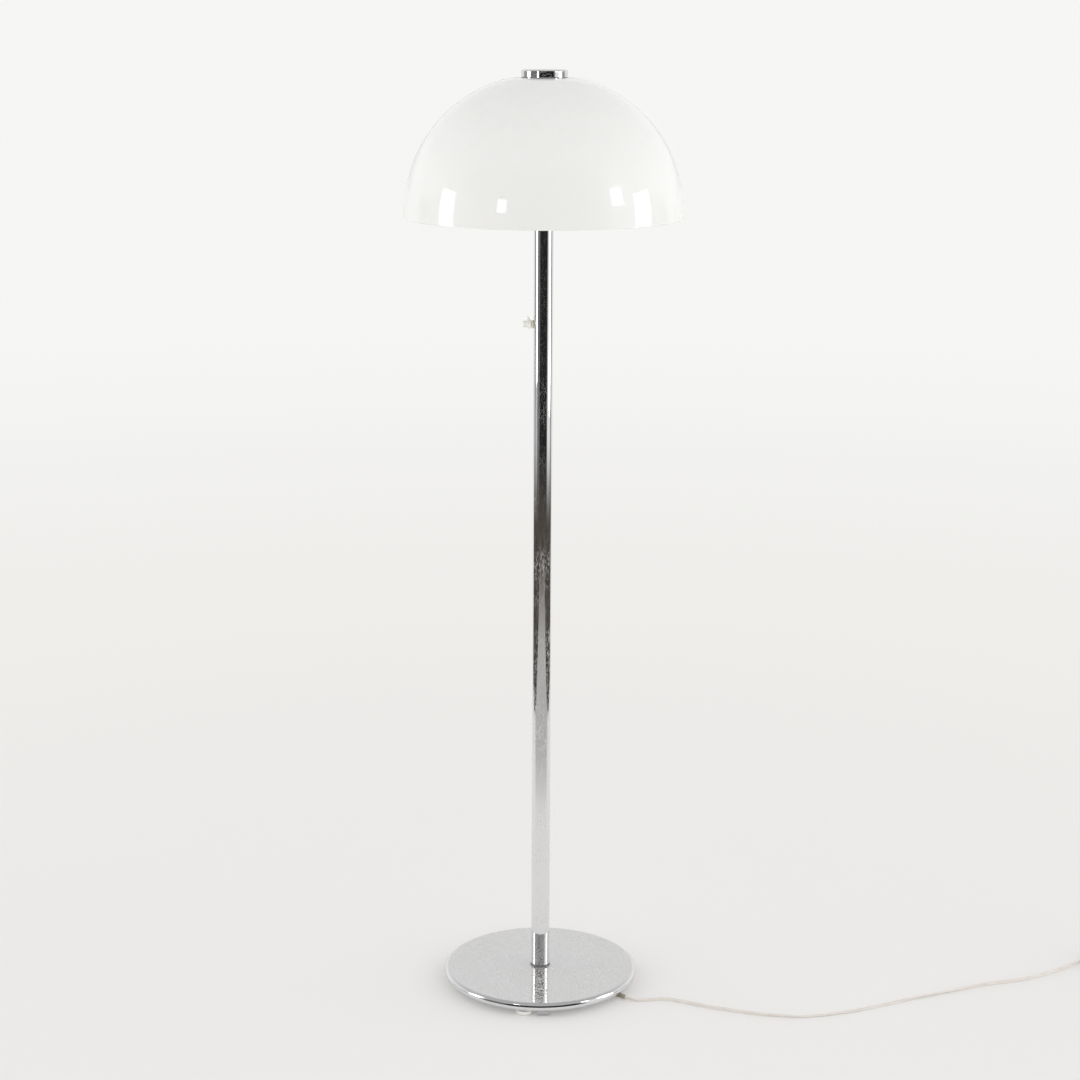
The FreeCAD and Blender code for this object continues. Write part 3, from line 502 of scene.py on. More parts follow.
DUST = (0.55, 0.53, 0.5)
DUST_ON_OPAL = (0.66, 0.64, 0.60)
BARE_MARK = (0.68, 0.67, 0.65)   # dulled metal in a pit or a scratch


def new_finish(name):
    """A material with its shader: (material, its wiring, the shader, object coordinates)."""
    material = bpy.data.materials.new(name)
    material.use_nodes = True
    wiring = Wiring(material.node_tree)
    shader = material.node_tree.nodes["Principled BSDF"]
    return material, wiring, shader, wiring.add("TexCoord").outputs["Object"]


def stretched(wiring, vector, scale):
    return wiring.add("Mapping", Vector=vector, Scale=scale).outputs[0]


def moulded(name, tone, roughness, grain=900.0, bump=0.02, drift=0.12, dust=0.0, **sockets):
    """A moulded, cast or painted surface: toned, grained and a little dusty."""
    material, wiring, shader, coordinates = new_finish(name)
    base = wiring.drifted(coordinates, tone, 45.0, drift)
    if dust:
        mask = wiring.group(settled_dust(), Vector=coordinates, Scale=70.0, Amount=dust)[0]
        base = wiring.mix(mask, base, DUST)
    height, gloss = wiring.group(fine_grain(), Vector=coordinates, Scale=grain)
    wiring.fill(shader, Base_Color=base, Normal=wiring.bump(height, bump * MM, 0.6),
                Roughness=wiring.sum("MULTIPLY_ADD", gloss, 0.25, roughness, clamp=True),
                **sockets)
    return material


def chrome_plate(name, tone, stretch=(1, 1, 1), pit_scale=600.0, pit_size=0.25,
                 scratch_scale=60.0, scratch_width=0.006, worn=None, marked=0.12, flat=False):
    """Chrome plate with its pits and scratches.

    Worn is (low, high) of a hazy height band, and flat keeps the marks on what faces up.
    """
    material, wiring, shader, coordinates = new_finish(name)
    wear = wiring.group(plating_wear(), Vector=stretched(wiring, coordinates, stretch),
                        Pit_Scale=pit_scale, Pit_Size=pit_size,
                        Scratch_Scale=scratch_scale, Scratch_Width=scratch_width)
    patchy = wiring.ramp(wiring.noise(coordinates, 9.0, 6.0), 0.42, 0.68)
    if worn:
        band = wiring.ramp(wiring.parts(coordinates)[2], worn[1], worn[0])
        patchy = wiring.sum("MULTIPLY", patchy, band)
    marks = wiring.sum("MAXIMUM", wiring.sum("MULTIPLY", wear["Pits"], 0.85),
                       wiring.sum("MULTIPLY", wear["Scratches"], 0.75))
    dulled = wiring.sum("MULTIPLY_ADD", patchy, 0.7, marked, clamp=True)
    marks = wiring.sum("MULTIPLY", marks, dulled)
    if flat:
        marks = wiring.sum("MULTIPLY", marks, wiring.ramp(facing_upwards(wiring), 0.9, 0.999))
    base = wiring.drifted(coordinates, tone, 14.0, 0.08)
    haze = wiring.sum("MULTIPLY_ADD", patchy, 0.03, 0.02)
    wiring.fill(shader, Base_Color=wiring.mix(marks, base, BARE_MARK),
                Roughness=wiring.sum("MULTIPLY_ADD", marks, 0.5, haze),
                Metallic=wiring.sum("SUBTRACT", 1.0, marks),
                Normal=wiring.bump(wear["Height"], 0.004 * MM, 0.5))
    return material


def opal_acrylic(name, tone):
    """Glossy opal acrylic: light sinks in a little, with faint dust and hairline scratches."""
    material, wiring, shader, coordinates = new_finish(name)
    base = wiring.drifted(coordinates, tone, 6.0, 0.03)
    dust = wiring.group(settled_dust(), Vector=coordinates, Scale=90.0, Amount=0.08)[0]
    wear = wiring.group(plating_wear(), Vector=coordinates, Pit_Scale=260.0, Pit_Size=0.06,
                        Scratch_Scale=24.0, Scratch_Width=0.0012)
    hazy = wiring.sum("MULTIPLY_ADD", wear["Scratches"], 0.2, 0.045)
    wiring.fill(shader, Base_Color=wiring.mix(dust, base, DUST_ON_OPAL),
                Roughness=wiring.sum("MULTIPLY_ADD", dust, 0.25, hazy),
                Normal=wiring.bump(wear["Height"], 0.003 * MM, 0.3),
                Subsurface_Weight=0.25, Subsurface_Radius=(1.0, 0.97, 0.92),
                Subsurface_Scale=6 * MM, IOR=1.49)
    return material


def brushed_steel(name, tone, roughness=0.32, metallic=1.0):
    """Zinc-plated or rolled metal with a short grain."""
    material, wiring, shader, coordinates = new_finish(name)
    height, gloss = wiring.group(fine_grain(), Scale=1500.0,
                                 Vector=stretched(wiring, coordinates, (1, 1, 0.08)))
    wiring.fill(shader, Base_Color=wiring.drifted(coordinates, tone, 120.0, 0.25),
                Roughness=wiring.sum("MULTIPLY_ADD", gloss, 0.4, roughness, clamp=True),
                Normal=wiring.bump(height, 0.01 * MM, 0.5), Metallic=metallic)
    return material


# How each finish is made: (its maker, its colour, its own values).
FINISHES = {
    "base_chrome": (chrome_plate, "chrome", dict(pit_scale=850.0, pit_size=1.2, marked=0.75,
                                                 scratch_width=0.0006, flat=True)),
    "stem_chrome": (chrome_plate, "chrome", dict(pit_scale=1100.0, pit_size=0.6, marked=0.04,
                                                 scratch_scale=150.0, scratch_width=0.014,
                                                 stretch=(1, 1, 0.16), worn=(0.62, 1.02))),
    "cap_chrome": (chrome_plate, "chrome", dict(pit_size=0.15)),
    "opal_shade": (opal_acrylic, "opal", dict()),
    "knob_plastic": (moulded, "knob", dict(roughness=0.30)),
    "bush_plastic": (moulded, "relief", dict(roughness=0.45, grain=1400.0)),
    "cord_plastic": (moulded, "lead", dict(roughness=0.38, grain=700.0, bump=0.04, drift=0.2)),
    "plug_plastic": (moulded, "plug", dict(roughness=0.33, bump=0.03)),
    "glide_plastic": (moulded, "glide", dict(roughness=0.42, bump=0.03, drift=0.2)),
    "black_rubber": (moulded, "rubber", dict(roughness=0.32, grain=1600.0, bump=0.03, dust=0.3)),
    "bakelite": (moulded, "bakelite", dict(roughness=0.22, grain=600.0, drift=0.5, dust=0.12)),
    "painted_cup": (moulded, "enamel", dict(roughness=0.25, grain=250.0, dust=0.15)),
    "porcelain": (moulded, "porcelain", dict(roughness=0.6, grain=1200.0, bump=0.06)),
    "cast_iron": (moulded, "iron", dict(roughness=0.65, grain=500.0, bump=0.25, drift=0.6,
                                        Metallic=0.7)),
    "bulb_glass": (moulded, "glass", dict(roughness=0.14, grain=500.0, bump=0.004, drift=0.03,
                                          Transmission_Weight=0.35, IOR=1.5)),
    "bright_steel": (brushed_steel, "steel", dict()),
    "bulb_cap": (brushed_steel, "bulb_cap", dict(roughness=0.28)),
    "brass": (brushed_steel, "ring", dict(roughness=0.5, metallic=0.35)),
    "plug_brass": (brushed_steel, "pins", dict(roughness=0.25)),
}


def finish(name):
    """The finish of that name, made when it is first asked for."""
    maker, tone, values = FINISHES[name]
    made = bpy.data.materials.get(name + "_finish")
    colours = bpy.context.scene.lamp_colours
    return made or maker(name + "_finish", getattr(colours, tone), **values)


# ---------------------------------------------------------------- camera and studio

CAMERA_PLACE = (-3.3 * MM, -3.252, 1.458)
CAMERA_PITCH = 13.245    # degrees down
CAMERA_ROLL = 0.267
CAMERA_LENS = 75.6       # mm, on a sensor this wide:
CAMERA_SENSOR = 36


class LAMP_OT_camera(bpy.types.Operator):
    """Adds the camera at the photograph's viewing angle"""
    bl_idname = "lamp.camera"
    bl_label = "Camera"

    def execute(self, context):
        choose()
        bpy.ops.object.camera_add()
        camera = context.object
        camera.name = "lamp_camera"
        pitch = Matrix.Rotation(math.radians(90 - CAMERA_PITCH), 4, "X")
        roll = Matrix.Rotation(math.radians(CAMERA_ROLL), 4, "Z")
        camera.matrix_world = Matrix.Translation(CAMERA_PLACE) @ pitch @ roll
        camera.data.lens = CAMERA_LENS
        camera.data.sensor_width = CAMERA_SENSOR
        context.scene.camera = camera
        return {"FINISHED"}


# What bright metal sees round the horizon: (degrees from the front, to the right; its grey).
SURROUND = ((-180, 0.87), (-124, 0.87), (-118, 0.33), (-98, 0.35), (-94, 0.6), (-74, 0.6),
            (-68, 0.2), (-42, 0.16), (-38, 0.02), (44, 0.02), (52, 0.3), (58, 0.9),
            (93, 0.9), (98, 0.35), (116, 0.33), (122, 0.87), (180, 0.87))


@shared_group({"Direction": Vector()}, {"Color": (0.5, 0.5, 0.5)})
def studio_surround(wiring, given):
    """The studio's dark and light sides, by the way that a reflection looks."""
    along = wiring.parts(given["Direction"])
    turn = wiring.sum("ARCTAN2", along[0], wiring.sum("MULTIPLY", along[1], -1.0))
    ramp = wiring.add("ValToRGB", Fac=wiring.sum("MULTIPLY_ADD", turn, 1 / math.tau, 0.5))
    stops = ramp.color_ramp.elements
    for degrees, grey in SURROUND[1:-1]:
        stops.new(degrees / 360 + 0.5).color = (grey, grey, grey, 1)
    for stop, (_, grey) in ((stops[0], SURROUND[0]), (stops[len(stops) - 1], SURROUND[-1])):
        stop.color = (grey, grey, grey, 1)
    return {"Color": ramp.outputs[0]}


FLOOR_SIZE = 240                      # metres
PALE = (0.92, 0.92, 0.91)             # the backdrop far away
PAPER = (0.945, 0.935, 0.92)          # the paper near the lamp
PAPER_HALF_WIDTH = 1.36               # metres to each side of the lamp
PAPER_FRONT = -2.2                    # where the paper starts to end in front
MIRRORED_PAPER = (0.86, 0.85, 0.84)   # what bright metal sees of it
SHADED_NEAR = (0.85, 0.84, 0.83)      # and in front of the lamp, from near to far
SHADED = (0.5, 0.49, 0.48)
SHADED_FAR = (0.24, 0.22, 0.20)
DARK_STUDIO = (0.075, 0.065, 0.055)


def mirrored_floor(wiring, along, distance, coordinates):
    """What the bright metal sees of the floor: paler paper, then the dark studio around it."""
    half_across = wiring.sum("ABSOLUTE", along[0])
    beside = wiring.ramp(half_across, PAPER_HALF_WIDTH - 0.04, PAPER_HALF_WIDTH + 0.04)
    slant = wiring.sum("MULTIPLY_ADD", half_across, -0.7, along[1])
    off_side = wiring.sum("MULTIPLY", beside, wiring.sum("LESS_THAN", slant, 0.0))
    off_front = wiring.ramp(along[1], PAPER_FRONT, PAPER_FRONT - 0.7)
    off_paper = wiring.sum("MAXIMUM", off_side, off_front)
    shaded = wiring.mix(wiring.ramp(distance, 0.6, 1.2), SHADED_NEAR, SHADED)
    shaded = wiring.mix(wiring.ramp(distance, 1.7, 2.5), shaded, SHADED_FAR)
    paper = wiring.mix(wiring.ramp(along[1], 0.0, -0.5), MIRRORED_PAPER, shaded)
    around = wiring.group(studio_surround(), Direction=coordinates)[0]
    near = wiring.mix(wiring.ramp(distance, 3.0, 4.6), DARK_STUDIO, around)
    return wiring.mix(off_paper, paper, near)


def studio_floor(tone):
    """A pale floor that keeps shadows; far away it is even, and metal sees its dark edges."""
    material, wiring, shader, coordinates = new_finish("studio_floor")
    along = wiring.parts(coordinates)
    distance = wiring.add("VectorMath", operation="LENGTH", Vector=coordinates).outputs["Value"]
    wiring.fill(shader, Base_Color=wiring.drifted(coordinates, PAPER, 3.0, 0.01),
                Roughness=wiring.sum("MULTIPLY_ADD", wiring.noise(coordinates, 3.0, 3.0), 0.1,
                                     0.7),
                Specular_IOR_Level=0.1)
    paler = wiring.mix(wiring.ramp(distance, 0.8, 7.5), tone, PALE)
    even = wiring.add("Emission", Color=paler, Strength=1.0).outputs[0]
    seen = wiring.add("Emission", Strength=1.0, Color=mirrored_floor(wiring, along, distance,
                                                                     coordinates)).outputs[0]
    path = wiring.add("LightPath").outputs
    mirrored = wiring.sum("MULTIPLY", wiring.ramp(distance, 0.5, 0.9), path["Is Glossy Ray"])
    evened = wiring.ramp(distance, 0.7, 2.2, 0.3, 1.0)
    far = wiring.sum("MULTIPLY", evened, path["Is Camera Ray"])
    plain = wiring.step("MixShader", (far, shader.outputs[0], even))
    wiring.fill(material.node_tree.nodes["Material Output"],
                Surface=wiring.step("MixShader", (mirrored, plain, seen)))
    return material


def studio_world():
    """A plain pale surround; reflections near the horizon see the studio's dark sides."""
    world = bpy.data.worlds.new("studio")
    world.use_nodes = True
    wiring = Wiring(world.node_tree)
    direction = wiring.add("TexCoord").outputs["Generated"]
    across, along, up = wiring.parts(direction)
    path = wiring.add("LightPath").outputs
    plain = wiring.ramp(up, 0.0, 1.0, 1.0, 0.46)
    level = wiring.sum("MULTIPLY_ADD", wiring.sum("MULTIPLY", across, across), 1.05, plain)
    soft = wiring.sum("MULTIPLY_ADD", across, 0.08, level)
    sides = wiring.group(studio_surround(), Direction=direction)[0]
    around = wiring.mix(wiring.ramp(along, 0.75, 0.95), sides, (0.7, 0.7, 0.7))
    before = wiring.ramp(along, 0.3, -0.3)
    start = wiring.sum("MULTIPLY_ADD", before, 0.48, 0.04)
    end = wiring.sum("MULTIPLY_ADD", before, 0.60, 0.16)
    overhead = wiring.step("CombineColor", [plain] * 3)
    lit = wiring.step("CombineColor", [soft] * 3)
    mirrored = wiring.mix(wiring.ramp(up, start, end), around, overhead)
    lighting = wiring.mix(path["Is Glossy Ray"], lit, mirrored)
    wiring.fill(world.node_tree.nodes["Background"],
                Color=wiring.mix(path["Is Camera Ray"], lighting, PALE))
    return world


# Softboxes and windows: degrees from the front to the right, distance, low, high, width, watts.
LIGHTS = {
    "softbox_left": (-82.5, 2.2, 0.57, 1.75, 0.58, 8.7),
    "softbox_right": (84.5, 2.2, 0.50, 1.72, 0.66, 10.8),
    "window_left": (-32, 1.4, 1.30, 1.54, 0.17, 0.9),
    "window_right": (60, 2.0, 1.47, 1.93, 0.37, 2.6),
}


class LAMP_OT_stage(bpy.types.Operator):
    """Adds the floor, the surround and the soft studio lights"""
    bl_idname = "lamp.stage"
    bl_label = "Stage"

    def execute(self, context):
        tone = context.scene.lamp_colours.backdrop
        choose()
        bpy.ops.mesh.primitive_plane_add(size=FLOOR_SIZE)
        floor = context.object
        floor.name = "studio_floor"
        floor.data.materials.append(studio_floor(tone))
        context.scene.world = studio_world()
        for name, (degrees, distance, bottom, top, width, watts) in LIGHTS.items():
            place = polar(distance, degrees - 90, (bottom + top) / 2)
            bpy.ops.object.light_add(type="AREA")
            lamp = context.object
            lamp.name = name
            inward = Vector((-place.x, -place.y, 0))
            lamp.matrix_world = (Matrix.Translation(place)
                                 @ inward.to_track_quat("-Z", "Y").to_matrix().to_4x4())
            lamp.data.shape = "RECTANGLE"
            lamp.data.size = width
            lamp.data.size_y = top - bottom
            lamp.data.energy = watts
            lamp.visible_camera = False
            lamp.visible_diffuse = False
        return {"FINISHED"}


# ---------------------------------------------------------------- mains lead

EXIT_HEADING = -42       # degrees: the way that the lead leaves the base
MOUTH = Vector((0.1292, -0.0807, 0.0040))
FIRST_BEND = Vector((0.1383, -0.0878, 0.0034))
LEAD_LIE = 0.0027        # height of the lead's middle where it stands on its edge
# The lead on the floor, from the strain relief to its coil.
LEAD_ROUTE = (
    (0.1515, -0.0884), (0.1675, -0.0850), (0.1870, -0.0812), (0.2110, -0.0900),
    (0.2430, -0.1060), (0.2850, -0.1214), (0.3350, -0.1370), (0.3920, -0.1418),
    (0.4500, -0.1272), (0.5050, -0.1040), (0.5600, -0.0750), (0.6200, -0.0525),
    (0.6800, -0.0240), (0.7450, -0.0070), (0.8000, 0.0250), (0.8450, 0.0600),
)
COIL_START = Vector((0.886, 0.090, 0.0))
COIL_HEADING = 36
COIL_OUTER, COIL_INNER, COIL_SWELL, COIL_LIFT = 0.033, 0.027, 0.003, 0.006
COIL_LAYERS = 4
HALF_TURN_POINTS = 8
TAIL_STEPS = ((0.020, 222, 0.0205), (0.024, 243, 0.0155), (0.026, 262, 0.0106),
              (0.026, 281, 0.0076), (0.022, 293, 0.00685))
# How the flat lead lies: (distance from the strain relief, degrees: 0 flat, 90 on its edge).
LEAD_TWIST = ((0.0, 60), (0.10, 95), (0.20, 80), (0.29, 15), (0.42, -5), (0.50, 50),
              (0.62, 100), (0.75, 90), (1.92, 90), (2.0, 20), (2.1, 0))


def coil_point(across, height, ahead):
    """A point of the coil: across its middle line, up, and ahead along the lead."""
    right = polar(1, COIL_HEADING - 90)
    spot = COIL_START + right * (COIL_OUTER - across) + polar(1, COIL_HEADING) * ahead
    return Vector((spot.x, spot.y, height))


def coil_points():
    """The lead's control points round its coil, straight for a width at both ends."""
    stations = []
    for layer in range(COIL_LAYERS):
        inward = layer % 2 == 0
        joined_up = layer > 0 if inward else layer < COIL_LAYERS - 1
        wide = COIL_OUTER + COIL_SWELL * joined_up
        height = LEAD_LIE + layer * COIL_LIFT
        row = (wide, -COIL_OUTER, COIL_INNER) if inward else (-COIL_INNER, COIL_OUTER, -wide)
        stations += [(across, height) for across in row]
    points = [coil_point(*stations[0], -2 * LEAD_LIE)]
    half_step = math.pi / HALF_TURN_POINTS / 2
    for number, ((start, low_z), (end, high_z)) in enumerate(zip(stations, stations[1:])):
        ahead = 1 if number % 2 == 0 else -1
        radius = abs(end - start) / 2 / math.cos(half_step)
        for step in range(HALF_TURN_POINTS):
            turn = (step + 0.5) * 2 * half_step
            share = (1 - math.cos(turn)) / 2
            across = (start + end) / 2 + radius * math.cos(turn) * (1 if start > end else -1)
            points.append(coil_point(across, low_z + (high_z - low_z) * share,
                                     radius * math.sin(turn) * ahead))
    points.append(coil_point(*stations[-1], -2 * LEAD_LIE))
    return points


def tail_points(spot):
    points = []
    for step, degrees, height in TAIL_STEPS:
        spot = spot + polar(step, degrees)
        spot.z = height
        points.append(spot.copy())
    return points


def read_line(points, resolution):
    """Points read from a smooth line with these control points."""
    curve = bpy.data.curves.new("lead_line", "CURVE")
    curve.dimensions = "3D"
    spline = curve.splines.new("NURBS")
    spline.points.add(len(points) - 1)
    for target, point in zip(spline.points, points):
        target.co = (*point, 1)
    spline.order_u = 3
    spline.use_endpoint_u = True
    spline.resolution_u = resolution
    line = bpy.data.objects.new("lead_line", curve)
    bpy.context.scene.collection.objects.link(line)
    mesh = bpy.data.meshes.new_from_object(line)
    read = [vertex.co.copy() for vertex in mesh.vertices]
    bpy.data.objects.remove(line)
    bpy.data.meshes.remove(mesh)
    return read


def between(table, value):
    """The number that a table of (place, number) gives at a place, eased between its rows."""
    for (start, first), (end, second) in zip(table, table[1:]):
        if value <= end:
            share = max(0.0, (value - start) / (end - start))
            return first + (second - first) * share * share * (3 - 2 * share)
    return table[-1][1]


def twin_outline(width, core):
    """The twin lead's section, two round cores side by side: (across, up) points."""
    radius = core / 2
    offset = width / 2 - radius
    waist = math.degrees(math.acos(-offset / radius))
    right = arc((offset, 0), radius, -waist, waist, 9)
    left = arc((-offset, 0), radius, 180 - waist, 180 + waist, 9)
    return right[:-1] + left[:-1]


def twin_lead(name, line, width, core):
    """A flat twin lead along a line, which turns between flat and on edge as it goes.

    Gives the lead and its true middle line, lowered to the floor where it lies flat.
    """
    outline = twin_outline(width, core)
    slack = width / 2 - core / 2
    vertices, uvs, middle = [], [], []
    travelled = 0.0
    for number, point in enumerate(line):
        after = line[min(number + 1, len(line) - 1)]
        before = line[max(number - 1, 0)]
        if number:
            travelled += (point - before).length
        along = (after - before).normalized()
        side = along.cross(Vector((0, 0, 1))).normalized()
        upward = side.cross(along)
        tilt = math.radians(between(LEAD_TWIST, travelled))
        wide = side * math.cos(tilt) + upward * math.sin(tilt)
        thin = upward * math.cos(tilt) - side * math.sin(tilt)
        settled = point - Vector((0, 0, slack * (1 - abs(math.sin(tilt)))))
        middle.append(settled)
        for place, (across, up) in enumerate(outline):
            vertices.append(settled + wide * across + thin * up)
            uvs.append((travelled, place / len(outline)))
    count = len(outline)
    last = (len(line) - 1) * count
    faces = []
    for start in range(0, last, count):
        for place in range(start, start + count):
            after = start + (place + 1 - start) % count
            faces.append((place, after, after + count, place + count))
    faces += [tuple(range(count))[::-1], tuple(range(last, last + count))]
    mesh = bpy.data.meshes.new(name)
    mesh.from_pydata(vertices, [], faces)
    layer = mesh.uv_layers.new(name="along")
    for loop in mesh.loops:
        layer.data[loop.index].uv = uvs[loop.vertex_index]
    piece = bpy.data.objects.new(name, mesh)
    bpy.context.scene.collection.objects.link(piece)
    choose(piece)
    mode("EDIT")
    return closed(piece, degrees=50), middle


class LAMP_OT_lead(bpy.types.Operator):
    """Models the mains lead with its strain relief, coil and plug"""
    bl_idname = "lamp.lead"
    bl_label = "Mains lead"

    def execute(self, context):
        sizes = context.scene.lamp_sizes
        coil = coil_points()
        tail = tail_points(coil[-1])
        floor = [Vector((across, back, LEAD_LIE)) for across, back in LEAD_ROUTE]
        line = read_line([MOUTH, FIRST_BEND] + floor + coil + tail, 10)
        lead, middle = twin_lead("mains_lead", line, sizes.lead_width, sizes.lead_core)
        dressed(lead, "cord_plastic", "cord_lead", "cord_coil", "cord_tail")
        relief = self.strain_relief(sizes)
        plug = self.plug(tail[-1], TAIL_STEPS[-1][1])
        pins = self.pins(tail[-1], TAIL_STEPS[-1][1])
        return {"FINISHED"}

    def strain_relief(self, sizes):
        """A tapered sleeve with flex grooves towards its mouth."""
        bore = sizes.lead_width / 2 + 0.05 * MM
        outline = [(bore, 0.0)] + mm((3.2, 0), (3.2, 34), (3.7, 35), (3.7, 41.5))
        for groove in range(4):
            start = 42 + groove * 3.2
            ridge = 3.65 - groove * 0.14
            outline += mm((ridge, start), (ridge, start + 1.9), (ridge - 0.45, start + 2.2),
                          (ridge - 0.45, start + 2.9))
        outline += mm((3.1, 55.2), (3.0, 58)) + [(bore, 58 * MM), (bore, 0.0)]
        relief = turned("strain_relief", outline, TURNED_SIDES)
        outward = polar(1, EXIT_HEADING)
        moved(relief, facing(MOUTH - outward * 58 * MM, outward))
        return dressed(relief, "bush_plastic", "cord_bush")

    def plug(self, entry, degrees):
        """A flat moulded plug: a rounded block drawn out in steps, with a ribbed neck."""
        stations = ((18, 5.2, 5.2), (22, 7.2, 6.0), (27, 9.2, 6.5), (34, 14.0, 6.75),
                    (40, 17.2, 6.85), (43, 17.65, 6.85), (49, 17.65, 6.85), (51.5, 16.6, 6.6),
                    (53, 15.0, 6.0), (53.5, 14.0, 5.2))
        choose()
        bpy.ops.mesh.primitive_plane_add(size=2)
        body = context_object("mains_plug")
        mode("EDIT")
        bpy.ops.mesh.bevel(offset=0.55, segments=6, affect="VERTICES")
        mode("OBJECT")
        along, wide, thick = stations[0]
        body.scale = (wide * MM, thick * MM, 1)
        body.location = (0, 0, along * MM)
        bpy.ops.object.transform_apply()
        mode("EDIT")
        bpy.ops.mesh.select_all(action="SELECT")
        for next_along, next_wide, next_thick in stations[1:]:
            bpy.ops.mesh.extrude_region_move(
                TRANSFORM_OT_translate={"value": (0, 0, (next_along - along) * MM)})
            bpy.ops.transform.resize(value=(next_wide / wide, next_thick / thick, 1))
            along, wide, thick = next_along, next_wide, next_thick
        closed(body, degrees=40)
        outline = mm((2.8, 0), (3.3, 0))
        for rib in range(4):
            start = 1.5 + rib * 3.8
            ridge = 3.5 + rib * 0.4
            outline += mm((ridge, start), (ridge + 0.1, start + 2.4), (ridge - 0.6, start + 2.7),
                          (ridge - 0.6, start + 3.5))
        outline += mm((5.0, 18), (4.6, 20), (2.8, 20), (2.8, 0))
        joined(body, turned("plug_neck", outline, TURNED_SIDES))
        moved(body, self.plug_place(entry, degrees))
        return dressed(body, "plug_plastic", "plug_body")

    def plug_place(self, entry, degrees):
        """The plug's place: its own +Z along the lead, its +X across and level."""
        forward = polar(1, degrees)
        across = forward.cross(Vector((0, 0, 1)))
        turn = Matrix((across, Vector((0, 0, 1)), forward)).transposed().to_4x4()
        return Matrix.Translation(entry) @ turn

    def pins(self, entry, degrees):
        outline = mm((2, 0), (2, 9.2), (1.86, 9.4), (1.86, 10), (2, 10.2))
        outline += arc((1 * MM, 18 * MM), 1 * MM, 0, 90, 5) + mm((0, 19))
        pin = turned("brass_prongs", outline, TURNED_SIDES, disc=True)
        face = self.plug_place(entry, degrees)
        places = [face @ Matrix.Translation((side * 9.3 * MM, 0, 53.5 * MM)) for side in (-1, 1)]
        repeated(pin, places)
        return dressed(pin, "plug_brass", "plug_pins")


# ---------------------------------------------------------------- base

GLIDE_ANGLES = (260, 20, 140)
CLIP_ANGLES = (272, 32, 152)
GLIDE_CIRCLE = 132 * MM


class LAMP_OT_base(bpy.types.Operator):
    """Models the chromed base cover with its glides and edge clips"""
    bl_idname = "lamp.base"
    bl_label = "Base"

    def execute(self, context):
        sizes = context.scene.lamp_sizes
        self.cover(sizes)
        self.glides(sizes)
        self.clips()
        return {"FINISHED"}

    def cover(self, sizes):
        """The pressed cover: a flat top, a round edge and a lip rolled in underneath."""
        top, bottom = high("base_cover"), low("base_cover")
        edge = (top - bottom) / 2
        centre = sizes.base_radius - edge
        outline = [(119 * MM, bottom), (centre - 1 * MM, bottom)]
        outline += arc((centre, bottom + edge), edge, -90, 90, 28)
        outline += [(centre - 0.6 * MM, top)] + steps_to((centre - 0.6 * MM, top), (30 * MM, top), 8)
        outline += [(15 * MM, top), (12.7 * MM, top)]
        cover = turned("base_cover_skin", outline, sizes.sides)
        walled(cover, sizes.base_wall)
        dressed(cover, "chrome", "base_cover", look="base_chrome")

    def glides(self, sizes):
        """Three moulded feet: a hollow disc with a soft curved side."""
        top = low("base_cover")
        outline = [(2.1 * MM, top)]
        outline += mm((2.1, 3), (4.2, 3), (4.2, 0.4), (4.6, 0), (7.5, 0), (8.6, 0.15), (10.2, 0.9),
                      (11.6, 2.1), (12.6, 3.6), (13.1, 5.2), (13.2, 6.2), (13.2, 7.6))
        outline += [(12.9 * MM, top), (2.1 * MM, top)]
        glide = turned("floor_glides", outline, sizes.small_sides)
        repeated(glide, [upright(GLIDE_CIRCLE, degrees) for degrees in GLIDE_ANGLES])
        dressed(glide, "glide_plastic", "glides")

    def clips(self):
        """Steel strips under the rim, each with a tongue turned down at its end."""
        top, sheet = low("base_cover"), 1.5 * MM
        inner, outer, width = 110 * MM, 139.75 * MM, 16 * MM
        choose()
        bpy.ops.mesh.primitive_plane_add(size=1)
        clip = context_object("rim_clips")
        clip.scale = (outer - inner, width, 1)
        clip.location = ((inner + outer) / 2, 0, top - sheet / 2)
        bpy.ops.object.transform_apply()
        pick(clip, "EDGE", lambda middle: abs(middle.x - outer) < 0.01 * MM)
        bpy.ops.mesh.extrude_region_move(TRANSFORM_OT_translate={"value": (0, 0, -0.8 * MM)})
        bpy.ops.transform.resize(value=(1, 1.25, 1))
        bpy.ops.mesh.extrude_region_move(
            TRANSFORM_OT_translate={"value": (0, 0, -(top - 1.55 * MM) + 1.5 * MM)})
        bpy.ops.transform.resize(value=(1, 0.82, 1))
        mode("OBJECT")
        pick(clip, "EDGE", lambda middle: abs(middle.x - outer) < 0.01 * MM
             and middle.z > top - 1 * MM)
        bpy.ops.mesh.bevel(offset=1.2 * MM, segments=4, affect="EDGES")
        mode("OBJECT")
        modify(clip, "SOLIDIFY", thickness=sheet, offset=0, use_even_offset=True)
        soften(clip, 0.25 * MM, 2)
        repeated(clip, [upright(0, degrees) for degrees in CLIP_ANGLES])
        dressed(clip, "bright_steel", "edge_clips")


# ---------------------------------------------------------------- stem and switch

